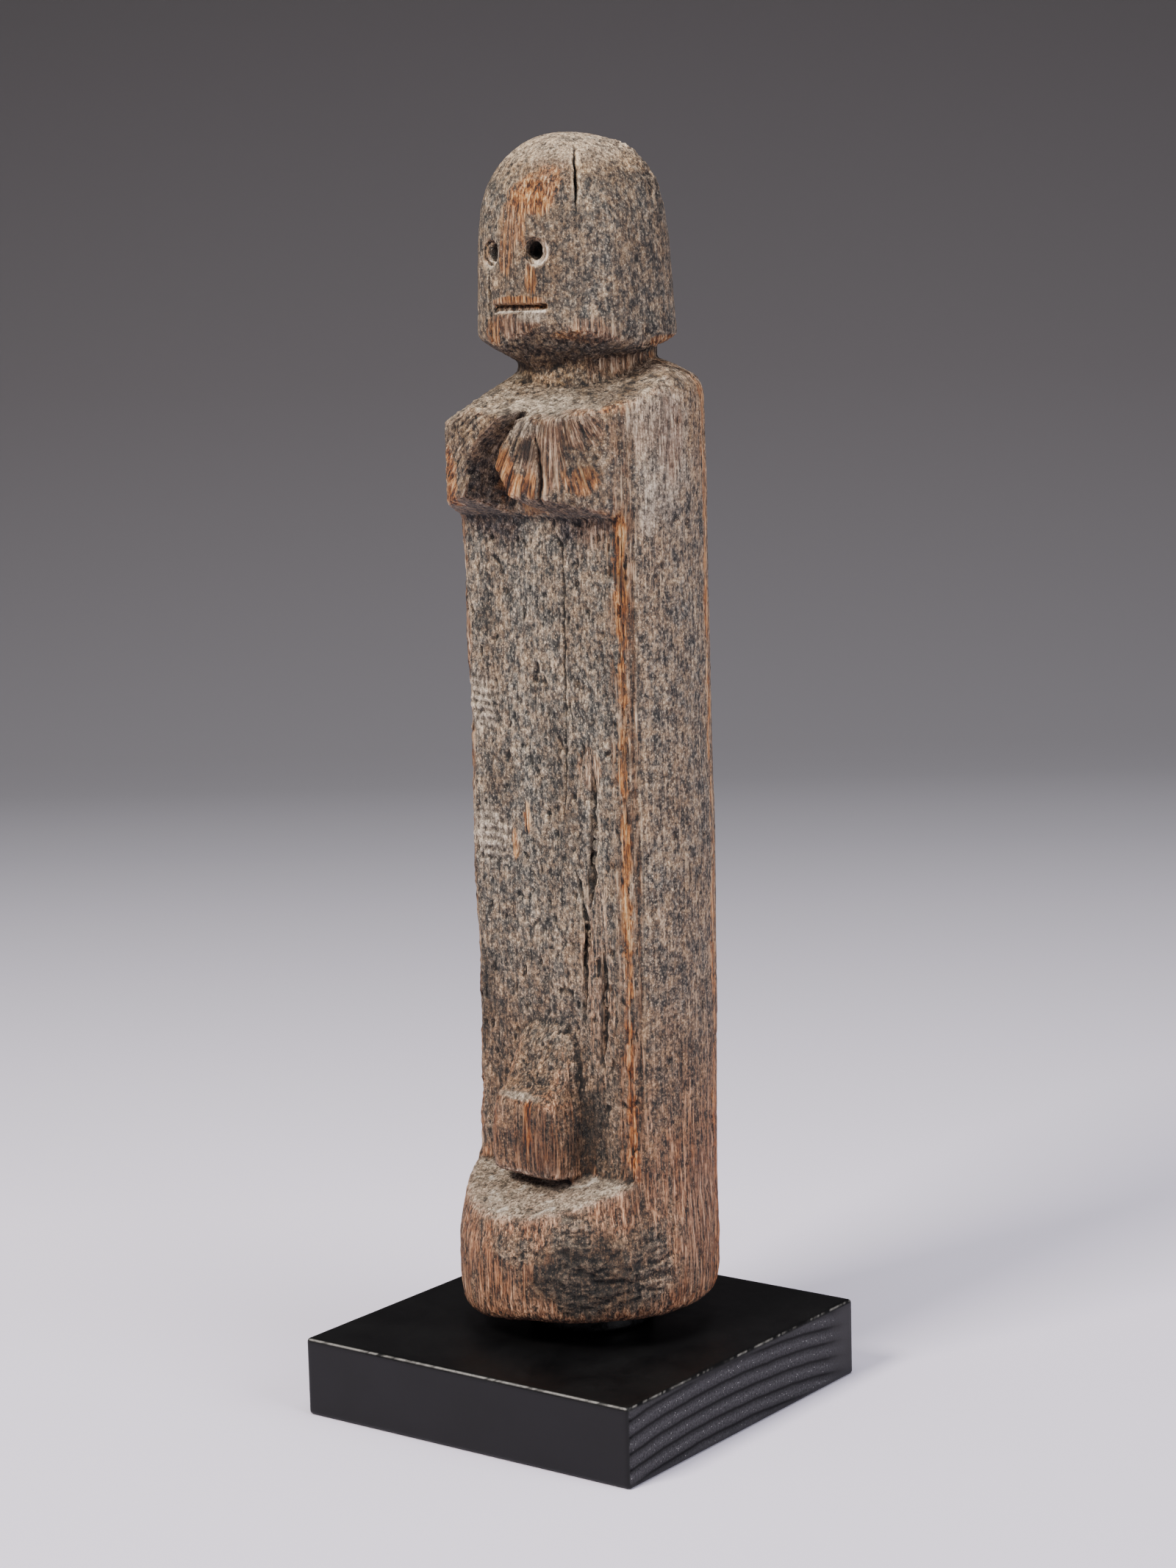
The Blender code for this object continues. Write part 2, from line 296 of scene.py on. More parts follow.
@dataclass
class Carving:
    """The weathered surface of the figure: what moves it and what colours it.

    The places are read off the object and lie within a millimetre or two.
    """

    panel_front: float = -10.3
    ridge: tuple[float, float] = (25.2, -10.3)
    head_from: float = 213.5
    eyes: tuple[tuple[float, float, float], ...] = ((8.5, -17.6, 235.9), (-5.6, -18.0, 235.9))
    mouth: tuple[float, float, float] = (-3.6, 11.7, 223.6)
    fan_top: tuple[float, float] = (17.0, 211.0)
    fan_width_mm: float = 22.0
    seam_turn: float = 75.5
    face_front: float = -12.0
    first_seed: int = 41
    noises: dict[str, LatticeNoise] = field(default_factory=dict)

    amber_patches: tuple[Patch, ...] = (
        Patch((14.5, -22.5, 200.4), (4.0, 4.0, 1.3), 0.75, 0.7),
        Patch((20.0, -17.0, 201.6), (4.0, 4.0, 1.3), 0.85, 0.7),
        Patch((26.5, -9.5, 202.6), (3.0, 4.0, 1.5), 0.7, 0.7),
        Patch((7.0, -16.2, 247.6), (7.0, 7.0, 6.0), 0.8),
        Patch((9.5, -14.6, 251.5), (4.5, 6.0, 4.0), 0.6),
        Patch((2.2, -17.8, 242.5), (5.0, 5.0, 9.0), 0.6),
        Patch((0.4, -18.2, 236.5), (2.6, 5.0, 7.0), 0.6),
        Patch((7.6, -17.8, 229.5), (1.9, 4.0, 4.5), 0.7),
        Patch((3.9, -18.4, 225.2), (9.0, 5.0, 1.5), 0.9),
        Patch((-4.4, -18.8, 219.2), (4.0, 6.0, 4.4), 0.6),
        Patch((15.4, -14.6, 217.4), (6.5, 5.0, 1.8), 0.6),
        Patch((19.5, 10.0, 216.2), (6.0, 9.0, 1.4), 0.7),
        Patch((5.2, -26.2, 188.2), (5.0, 6.0, 7.5), 0.9),
        Patch((11.5, -25.0, 186.2), (6.0, 5.0, 3.6), 0.75),
        Patch((21.5, -17.6, 186.6), (5.0, 5.0, 4.2), 0.65),
        Patch((-15.5, -23.0, 187.0), (7.0, 8.0, 9.0), 0.8),
        Patch((1.0, -15.0, 184.0), (8.5, 8.5, 9.0), 0.6),
        Patch((2.0, -21.0, 43.0), (1.6, 4.0, 9.0), 0.85),
        Patch((24.6, -12.2, 202.0), (1.6, 2.4, 1.2), 1.0, 0.1),
        Patch((-6.2, -10.3, 111.1), (1.4, 3.0, 5.0), 0.75),
        Patch((-10.4, -10.3, 104.0), (1.4, 3.0, 5.5), 0.7),
    )
    tan_patches: tuple[Patch, ...] = (
        Patch((2.0, -18.8, 220.2), (8.0, 6.0, 3.4), 0.7),
        Patch((18.5, -10.5, 218.0), (5.5, 8.0, 4.4), 0.55),
        Patch((9.4, -14.8, 253.0), (9.0, 8.0, 5.0), 0.4),
        Patch((16.0, -23.0, 191.5), (9.5, 7.0, 9.0), 0.62),
        Patch((20.5, -19.0, 198.0), (10.0, 8.0, 5.0), 0.7),
        Patch((28.0, -6.0, 198.0), (5.0, 9.0, 8.0), 0.5),
        Patch((28.8, 3.0, 196.0), (4.0, 5.0, 12.0), 0.7),
        Patch((16.0, 3.9, 210.8), (9.0, 14.0, 3.8), 0.6),
        Patch((28.0, 8.0, 24.0), (4.0, 9.0, 20.0), 0.6),
        Patch((9.4, -14.0, 41.0), (3.0, 6.0, 9.5), 0.35),
        Patch((15.5, -10.3, 80.0), (6.5, 3.0, 34.0), 0.42),
        Patch((14.0, -10.3, 124.0), (5.0, 3.0, 7.0), 0.55),
        Patch((18.0, -10.3, 175.0), (8.0, 5.0, 5.0), 0.5),
        Patch((14.6, -12.0, 181.0), (9.0, 6.0, 2.4), 0.5),
    )
    # Darker areas, most of them dirt; those in the valley between the breasts, under the near breast and
    # right of the knob are painted shade
    dark_patches: tuple[Patch, ...] = (
        Patch((12.2, -24.6, 193.4), (3.6, 4.0, 3.4), 1.0, 0.25),
        Patch((22.5, -16.6, 188.6), (4.4, 5.0, 3.0), 0.8),
        Patch((16.5, -19.0, 181.0), (8.0, 6.0, 2.8), 0.7),
        Patch((25.8, -9.9, 165.6), (3.0, 3.0, 5.0), 0.9),
        Patch((25.6, -9.9, 127.0), (3.2, 3.0, 4.4), 0.9),
        Patch((-23.6, -10.3, 68.6), (7.0, 5.0, 14.0), 0.65),
        Patch((-17.8, -10.3, 155.0), (4.0, 4.0, 4.0), 0.6),
        Patch((-14.0, -10.3, 120.0), (6.0, 4.0, 8.0), 0.35),
        Patch((6.0, -10.3, 118.0), (6.0, 4.0, 22.0), 0.35),
        Patch((8.0, -14.0, 214.5), (15.0, 9.0, 5.0), 0.75),
        Patch((1.0, -15.0, 186.0), (9.0, 8.5, 13.0), 0.85, 0.15),
        Patch((11.8, -12.0, 40.0), (3.2, 8.0, 13.0), 0.95, 0.2),
        Patch((15.0, -10.3, 42.0), (4.0, 4.0, 12.0), 0.6),
        Patch((17.0, -10.3, 36.0), (5.0, 4.0, 8.0), 0.4),
        Patch((4.0, -14.0, 29.0), (12.0, 6.0, 3.0), 0.65),
        Patch((21.1, -21.2, 11.0), (16.0, 14.0, 12.0), 0.85),
        Patch((5.0, -20.6, 38.5), (9.0, 5.0, 11.0), 0.72),
        Patch((13.0, -14.0, 228.0), (6.0, 6.0, 10.0), 0.35),
        Patch((16.0, -6.0, 207.0), (12.0, 8.0, 5.0), 0.6, 0.9),
        Patch((22.0, -12.0, 204.5), (6.0, 5.0, 3.0), 0.6, 0.9),
        Patch((-12.0, -18.0, 203.0), (12.0, 10.0, 6.0), 0.5, 0.6),
    )
    # Paler areas, most of them dust; the patch below the mouth is a painted highlight on the lower lip, and
    # the one at the knob a painted highlight along its top edge
    pale_patches: tuple[Patch, ...] = (
        Patch((13.0, -18.5, 203.0), (13.0, 10.0, 4.4), 0.72, 0.5),
        Patch((-10.0, -18.0, 203.0), (12.0, 10.0, 6.0), 0.4, 0.5),
        Patch((28.3, -3.4, 181.0), (4.0, 3.0, 7.0), 0.65, 0.5),
        Patch((28.3, -5.0, 201.0), (4.0, 5.0, 4.0), 0.55, 0.5),
        Patch((28.6, 2.6, 203.0), (4.0, 5.0, 4.0), 0.5, 0.5),
        Patch((10.0, -24.0, 199.0), (6.0, 5.0, 3.0), 0.6),
        Patch((28.6, 1.0, 192.0), (5.0, 10.0, 16.0), 0.4, 0.6),
        Patch((-21.5, -10.3, 136.0), (7.0, 4.0, 7.5), 0.55),
        Patch((-19.0, -10.3, 106.0), (7.0, 4.0, 7.5), 0.6),
        Patch((4.0, -4.0, 259.0), (20.0, 18.0, 7.0), 0.4, 0.5),
        Patch((7.0, -18.0, 222.0), (5.0, 3.0, 1.6), 0.8),
        Patch((-2.0, -20.8, 49.2), (9.0, 3.5, 1.0), 0.8),
        Patch((28.6, -2.0, 200.0), (5.0, 9.0, 8.0), 0.4, 0.5),
    )
    crust_lumps: tuple[Patch, ...] = (
        Patch((5.8, -28.8, 17.1), (7.0, 5.0, 3.4), 0.6),
        Patch((18.5, -23.0, 20.0), (7.0, 6.0, 7.0), 0.7),
        Patch((21.1, -21.2, 10.0), (13.0, 10.0, 8.0), 1.0),
        Patch((27.0, -10.0, 13.0), (7.0, 11.0, 10.0), 0.7),
    )
    rough_patches: tuple[Patch, ...] = (
        Patch((-12.0, -17.0, 201.0), (16.0, 13.0, 8.0), 1.0, 0.2),
        Patch((6.0, -12.0, 208.0), (12.0, 9.0, 4.0), 0.8, 0.3),
        Patch((12.0, 12.0, 253.0), (12.0, 12.0, 9.0), 1.5, 0.2),
        Patch((8.0, -12.0, 216.0), (18.0, 10.0, 4.0), 0.9, 0.2),
        Patch((12.0, -13.0, 177.0), (10.0, 5.0, 3.0), 0.9, 0.2),
        Patch((-1.0, -13.0, 55.0), (11.0, 6.0, 8.0), 0.9, 0.2),
        Patch((1.0, 2.0, 31.0), (30.0, 14.0, 4.0), 0.5, 0.2),
        Patch((24.0, 8.0, 217.0), (8.0, 12.0, 5.0), 1.2, 0.2),
    )
    chatter: tuple[tuple[tuple[float, float, float], float, float, float], ...] = (
        ((-20.5, -10.3, 136.5), 6.0, 6.5, 1.9),
        ((-18.0, -10.3, 105.5), 6.2, 7.0, 2.2),
    )
    cracks: tuple[Crack, ...] = (
        Crack(((52.0, 92.0), (54.6, 103.0), (56.8, 111.5), (55.9, 124.0)), 0.55, 1.4),
        Crack(((46.4, 64.0), (47.9, 81.0), (50.5, 86.5), (42.0, 101.0)), 0.45, 1.2),
        Crack(((58.0, 55.0), (59.3, 72.0), (59.8, 84.0)), 0.45, 1.2),
        Crack(((31.0, 112.0), (33.5, 128.0), (36.0, 150.0), (37.0, 172.0)), 0.35, 0.6),
        Crack(((150.0, 20.0), (153.0, 60.0), (149.0, 110.0), (151.0, 150.0)), 0.7, 1.8),
        Crack(((-160.0, 60.0), (-157.0, 110.0), (-161.0, 170.0)), 0.6, 1.4),
        Crack(((-100.0, 5.0), (-98.0, 40.0), (-101.0, 74.0)), 0.6, 1.3),
        Crack(((54.4, 244.5), (55.4, 250.0), (56.8, 254.6), (58.1, 258.6)), 0.45, 2.2),
        Crack(((-13.8, 212.0), (-14.6, 218.0), (-17.0, 226.0), (-17.6, 233.0)), 0.65, 1.4),
        Crack(((31.5, 180.0), (33.0, 187.0), (30.4, 198.0)), 0.6, 1.3),
    )

    def __post_init__(self) -> None:
        """Draws one noise for each kind of wear."""
        names = ("sway", "grain", "crumb", "pits", "edge", "mottle", "fan", "streak")
        self.noises = {name: LatticeNoise(self.first_seed + index) for index, name in enumerate(names)}

    def gather(self, points: np.ndarray, patches: Iterable[Patch]) -> np.ndarray:
        """Strongest cover of several patches on each point.

        Args:
            points: Places on the surface.
            patches: The patches.

        Returns:
            Shares from 0 to 1.
        """
        rough = self.noises["edge"].layered(points, (3.0, 3.0, 6.0), 2)
        total = np.zeros(len(points))
        for patch in patches:
            total = np.maximum(total, patch.cover(points, rough))
        return total

    def turn_of(self, points: np.ndarray) -> np.ndarray:
        """Turn of each point round the log from its front, in degrees."""
        return np.degrees(np.arctan2(points[:, 0], -points[:, 1]))

    def crack_depth(self, points: np.ndarray) -> np.ndarray:
        """How deep the cracks cut.

        Args:
            points: Places on the surface.

        Returns:
            Depth at each point, in millimetres.
        """
        turn = self.turn_of(points)
        radius = np.hypot(points[:, 0], points[:, 1])
        wander = 0.7 * self.noises["edge"].layered(points, (6.0, 6.0, 5.0), 3, 0.6)
        depth = np.zeros(len(points))
        for crack in self.cracks:
            turns = np.array([place[0] for place in crack.path])
            heights = np.array([place[1] for place in crack.path])
            across = np.radians(turn - np.interp(points[:, 2], heights, turns)) * radius + wander
            low, high = heights[0], heights[-1]
            ends = span((low - 2.0, low + 6.0), (high + 2.0, high - 6.0), points[:, 2])
            outside = smoothstep(8.0, 14.0, radius)
            wedge = np.clip(1.0 - np.abs(across) / (crack.half_width * (0.4 + 0.6 * ends)), 0.0, 1.0)
            depth = np.maximum(depth, crack.depth * wedge ** 0.7 * ends * outside)
        return depth

    def panel_span(self, points: np.ndarray) -> np.ndarray:
        """1 over the height of the front panel, 0 above and below it."""
        return span((30.0, 34.0), (182.0, 176.0), points[:, 2])

    def ridge_near(self, points: np.ndarray, side: float) -> np.ndarray:
        """Nearness to the worn arris at one side of the panel.

        Args:
            points: Places on the surface.
            side: 1 for the figure's left, -1 for its right.

        Returns:
            1 on the arris, 0 a few millimetres off.
        """
        sway = self.noises["streak"].layered(points, (30.0, 30.0, 14.0), 3, 0.7)
        across = np.hypot(side * points[:, 0] - self.ridge[0] - sway, points[:, 1] - self.ridge[1])
        width = 3.0 + 1.2 * self.noises["mottle"].at(points, (30.0, 30.0, 9.0))
        return smoothstep(1.0, 0.15, across / width) * self.panel_span(points)

    def on_panel(self, points: np.ndarray) -> np.ndarray:
        """1 on the flat front panel, 0 off it."""
        return smoothstep(3.0, 0.8, np.abs(points[:, 1] - self.panel_front)) * self.panel_span(points)

    def fan_places(self, points: np.ndarray) -> np.ndarray:
        """Turns places into those of a fan of fibres that spreads down over the near breast.

        Args:
            points: Places on the surface.

        Returns:
            Across, through and down the fan, in millimetres.
        """
        across, down = points[:, 0] - self.fan_top[0], self.fan_top[1] - points[:, 2]
        turn = np.arctan2(across, np.maximum(down, 1.0))
        return np.stack([turn * self.fan_width_mm, points[:, 1] * 0.3, np.hypot(across, down)], axis=1)

    def fan_cover(self, points: np.ndarray) -> np.ndarray:
        """1 on the fronts of the breasts, 0 elsewhere."""
        return span((178.0, 181.0), (204.0, 200.5), points[:, 2]) * smoothstep(-9.0, -16.0, points[:, 1])

    def from_eye(self, points: np.ndarray, eye: tuple[float, float, float]) -> np.ndarray:
        """Distance of each point from an eye's middle, as seen from the front, in millimetres."""
        return np.hypot(points[:, 0] - eye[0] - 0.35, points[:, 2] - eye[2] + 0.3)

    def mouth_span(self, points: np.ndarray) -> np.ndarray:
        """1 along the mouth, 0 beyond its corners."""
        low, high, _ = self.mouth
        return span((low - 0.6, low + 0.4), (high + 0.2, high - 0.8), points[:, 0])

    def smooth_places(self, points: np.ndarray) -> np.ndarray:
        """Which points the softening may move.

        Args:
            points: Places on the surface.

        Returns:
            True away from the eyes and the mouth.
        """
        keep = np.ones(len(points), dtype=bool)
        for eye in self.eyes:
            keep &= np.linalg.norm(points - np.array(eye), axis=1) > 4.2
        low, high, level = self.mouth
        x, y, z = points.T
        near = (x > low - 1.0) & (x < high + 1.0) & (np.abs(z - level + 0.3) < 1.6)
        return keep & ~(near & (y < self.face_front))

    def fine_places(self, points: np.ndarray) -> np.ndarray:
        """Which points lie where the small faces are kept.

        Args:
            points: Places on the surface.

        Returns:
            True on the face, the breasts and the knob.
        """
        x, y, z = points.T
        face = (y < -9.0) & (x < 19.0) & (z > 215.0) & (z < 256.0)
        breast = (y < -15.0) & (z > 181.0) & (z < 204.0)
        knob = (y < -12.0) & (z > 30.0) & (z < 56.0)
        return face | breast | knob

    def settle(self, points: np.ndarray) -> np.ndarray:
        """Where the foot's edge hangs lower than its middle.

        Args:
            points: Places on the surface.

        Returns:
            Distances down, in millimetres.
        """
        radius = np.hypot(points[:, 0], points[:, 1])
        toward = np.cos(np.radians(self.turn_of(points) + 62.0))
        low = smoothstep(9.0, 1.5, points[:, 2]) * smoothstep(17.5, 25.0, radius)
        return 2.3 * low * smoothstep(0.1, 0.9, toward)

    def height(self, points: np.ndarray, convex: np.ndarray) -> np.ndarray:
        """How far each point moves outwards.

        Args:
            points: Places on the smooth form.
            convex: How far each point stands out of its surroundings, -1 to 1.

        Returns:
            Distances in millimetres, most of them inwards.
        """
        noises = self.noises
        z = points[:, 2]
        panel, fan = self.on_panel(points), self.fan_cover(points)
        lower = smoothstep(75.0, 20.0, z)
        head = smoothstep(self.head_from, self.head_from + 3.0, z)
        move = 0.45 * noises["sway"].layered(points, (24.0, 24.0, 40.0), 3) - 0.14

        # Furrows between fibres, upright or spread as a fan, then crumbs and pits of the crust
        fibres = noises["grain"].layered(points, (1.7, 1.7, 26.0), 2, 0.7)
        spread = noises["fan"].layered(self.fan_places(points), (1.5, 1.5, 16.0), 2, 0.7)
        move -= (0.20 + 0.12 * lower) * np.abs(fibres) * (1.0 - fan)
        move -= fan * (0.75 * np.abs(spread) - 0.05)
        crumb = noises["crumb"].layered(points, (2.4, 2.4, 3.4), 3, 0.75)
        move += (0.2 + 0.28 * panel - 0.05 * lower - 0.03 * head) * crumb
        pits = noises["pits"].layered(points, (3.4, 3.4, 5.0), 2, 0.6)
        move -= (0.3 + 0.35 * panel - 0.15 * head) * smoothstep(0.22, 0.6, pits)

        # Hacked places, caked lumps and the waves that a blade left
        rough = self.gather(points, self.rough_patches)
        move += rough * (0.12 + 0.95 * noises["mottle"].layered(points, (3.6, 3.6, 3.2), 4, 0.72))
        lumps = self.gather(points, self.crust_lumps)
        ripple = noises["mottle"].layered(points + 31.0, (4.5, 4.5, 2.2), 3, 0.6)
        move += lumps * (0.1 + 1.5 * ripple)
        edge = noises["edge"].at(points, (4.0, 4.0, 4.0))
        for centre, half_width, half_height, pitch in self.chatter:
            reach = np.array([half_width, 4.0, half_height])
            away = np.linalg.norm((points - np.array(centre)) / reach, axis=1)
            bend = 0.06 * (points[:, 0] - centre[0]) ** 2 / half_width
            waves = np.sin(2.0 * np.pi * (z - centre[2] + bend + 0.6 * crumb) / pitch)
            move += 0.2 * smoothstep(1.1, 0.4, away + 0.5 * edge) * waves

        # Broken arrises, the seam up the side, and the cracks
        ridge = np.maximum(self.ridge_near(points, 1.0), self.ridge_near(points, -1.0))
        chips = noises["edge"].layered(points, (3.0, 3.0, 6.0), 3, 0.7)
        move -= ridge * (0.3 + 1.1 * np.clip(chips, 0.0, 1.0))
        seam = self.turn_of(points) - self.seam_turn - 1.6 * noises["streak"].at(points, (60.0, 60.0, 22.0))
        along = span((34.0, 42.0), (185.0, 170.0), z)
        move -= 0.5 * along * smoothstep(0.0, -1.2, seam) * smoothstep(-12.0, -6.0, seam)
        worn = np.clip(convex, 0.0, 1.0)
        move -= worn * (0.25 + 0.8 * np.clip(chips + 0.15, 0.0, 1.0))
        move -= self.crack_depth(points)

        # Dished eye sockets and the cut of the mouth
        for eye in self.eyes:
            dish = 0.85 * smoothstep(3.1, 1.8, self.from_eye(points, eye))
            move -= dish * (points[:, 1] < self.face_front) * (points[:, 1] < eye[1] + 1.6)
        move -= 1.5 * self.mouth_slit(points, chips)
        return move

    def mouth_slit(self, points: np.ndarray, ragged: np.ndarray) -> np.ndarray:
        """Share of the cut that makes the mouth, its upper edge torn.

        Args:
            points: Places on the surface.
            ragged: Noise that tears the edge.

        Returns:
            1 in the slit, 0 off it.
        """
        rise = points[:, 2] - self.mouth[2]
        cut = smoothstep(-0.9, 0.15, rise) ** 2 * smoothstep(1.2, 0.7, rise + 0.5 * ragged)
        return cut * self.mouth_span(points) * (points[:, 1] < self.face_front)

    def masks(self, points: np.ndarray, normals: np.ndarray, convex: np.ndarray) -> dict[Mask, np.ndarray]:
        """Works out each painted area.

        Args:
            points: Places on the finished surface.
            normals: Outward directions there.
            convex: How far each point stands out of its surroundings, -1 to 1.

        Returns:
            One share from 0 to 1 for each point and mask.
        """
        noises = self.noises
        z = points[:, 2]
        panel, fan = self.on_panel(points), self.fan_cover(points)
        ridge, far_ridge = self.ridge_near(points, 1.0), self.ridge_near(points, -1.0)
        streak = noises["streak"].layered(points, (2.0, 2.0, 30.0), 3, 0.75)
        mottle = noises["mottle"].layered(points, (11.0, 11.0, 24.0), 3)
        fine = noises["mottle"].layered(points + 7.0, (3.0, 3.0, 7.0), 3, 0.7)
        lower = smoothstep(62.0, 24.0, z)
        head = smoothstep(self.head_from - 1.0, self.head_from + 3.0, z)
        turn = self.turn_of(points)
        side = (1.0 - head) * (1.0 - panel)
        around = smoothstep(95.0, 150.0, np.abs(turn))
        lumps = self.gather(points, self.crust_lumps)
        proud = np.clip(convex, 0.0, 1.0)

        # Bare wood: a little everywhere, more low down, on the arrises and in the strip up the side
        amber, tan = self.gather(points, self.amber_patches), self.gather(points, self.tan_patches)
        line = smoothstep(0.34, 0.66, ridge + 0.45 * fine)
        limb = smoothstep(7.0, 2.0, np.abs(turn - 126.0 + 4.0 * mottle)) * (1.0 - head)
        strip = span((60.0, 66.0), (79.0, 74.0), turn) * (1.0 - head)
        bare = 0.08 + 0.16 * streak + 0.14 * mottle + 0.16 * side + 0.16 * around * side
        bare += lower * (0.28 + 0.4 * fine)
        bare = np.maximum.reduce([
            bare, amber, tan, line, ridge * (0.45 + 0.5 * fine), limb * (0.55 + 0.6 * fine),
            far_ridge * (0.7 + 0.6 * fine), strip * (0.45 + 0.4 * fine + 0.3 * streak)])
        bare = (bare + 0.35 * proud) * (1.0 - 0.95 * lumps)
        orange = 0.1 + 0.9 * line + 0.6 * limb + 0.8 * amber + (0.3 + 0.6 * amber) * fine + 0.3 * streak
        red = 0.05 + 0.8 * smoothstep(105.0, 35.0, z) + 0.25 * mottle + 0.3 * around

        # Pale: lighter where the foot's ledge and the chest face upwards, and a painted highlight along the
        # proud rim of the foot
        ledge = smoothstep(0.4, 0.8, normals[:, 2]) * smoothstep(17.0, 19.0, z) * smoothstep(37.0, 34.0, z)
        foot_rim = proud * smoothstep(16.0, 19.0, z) * smoothstep(36.0, 33.0, z)
        upward = smoothstep(0.35, 0.85, normals[:, 2]) * smoothstep(188.0, 196.0, z)
        pale = np.maximum.reduce([
            self.gather(points, self.pale_patches), ledge * (0.68 + 0.9 * fine),
            0.9 * foot_rim * (0.6 + fine), upward * (0.25 + 1.1 * fine)])

        # Darker: dirt in patches and as speckle of its own on each part, and painted shade under overhangs,
        # in cracks and hollows
        knob = lower * smoothstep(-12.0, -15.0, points[:, 1]) * smoothstep(31.0, 34.0, z)
        dark = np.maximum.reduce([
            self.gather(points, self.dark_patches),
            0.6 * smoothstep(-0.3, -0.75, normals[:, 2]),
            np.clip(self.crack_depth(points) / 0.8, 0.0, 1.0),
            0.6 * np.clip(-convex, 0.0, 1.0),
            lower * (0.05 + 0.3 * fine),
            strip * (0.45 + 0.5 * fine),
            upward * (0.2 - 2.2 * fine) * (1.0 - head),
            ledge * (-1.2 * fine),
            0.5 * fan * (1.0 + 1.4 * fine + 1.4 * streak),
            knob * (0.42 + 0.9 * fine + 0.5 * streak),
            panel * (0.05 + 0.25 * mottle + 0.25 * fine) * (1.0 - lower),
            head * (0.42 + 0.25 * mottle + 0.4 * fine) * smoothstep(260.0, 250.0, z)])
        warm = 0.45 - 0.2 * panel + 0.5 * smoothstep(248.0, 256.0, z) * (z > self.head_from) + 0.3 * mottle
        warm = np.maximum(warm, 0.75 * smoothstep(186.0, 194.0, z) * (1.0 - head))
        warm = warm - 0.3 * lumps - 0.2 * ledge

        # The face: a painted highlight on the lower lip, painted shade in the slit of the mouth and deep in
        # the eyes, and eye rims of bare wood with a painted highlight low on the left
        front = points[:, 1] < self.face_front
        rise = z - self.mouth[2]
        lip = span((-1.0, -0.7), (0.1, -0.1), rise) * self.mouth_span(points) * front
        slit = self.mouth_slit(points, fine) * (1.0 - lip)
        for eye in self.eyes:
            away = self.from_eye(points, eye)
            deep = smoothstep(eye[1] + 1.7, eye[1] + 2.6, points[:, 1]) * (away < 3.4) * front
            rim = smoothstep(3.3, 2.9, away) * (1.0 - deep) * front
            lit = rim * smoothstep(-0.3, 0.4, (eye[2] - z + 0.8 * (points[:, 0] - eye[0])) / 3.0)
            pale = np.maximum(pale, lit)
            bare = np.maximum(bare, 0.5 * rim + 0.5 * lit)
            orange = np.maximum(orange, 0.6 * rim)
            dark = np.maximum(dark * (1.0 - lit), deep)
        bare = np.maximum.reduce([bare, slit, lip])
        orange = np.maximum(orange, slit)
        pale = np.maximum(pale * (1.0 - slit), lip)
        dark = np.maximum(dark * (1.0 - lip), 0.55 * slit)
        found = {Mask.BARE: bare, Mask.ORANGE: orange, Mask.RED: red, Mask.PALE: pale, Mask.DARK: dark,
                 Mask.WARM: warm, Mask.FAN: fan}
        return {mask: np.clip(value, 0.0, 1.0) for mask, value in found.items()}


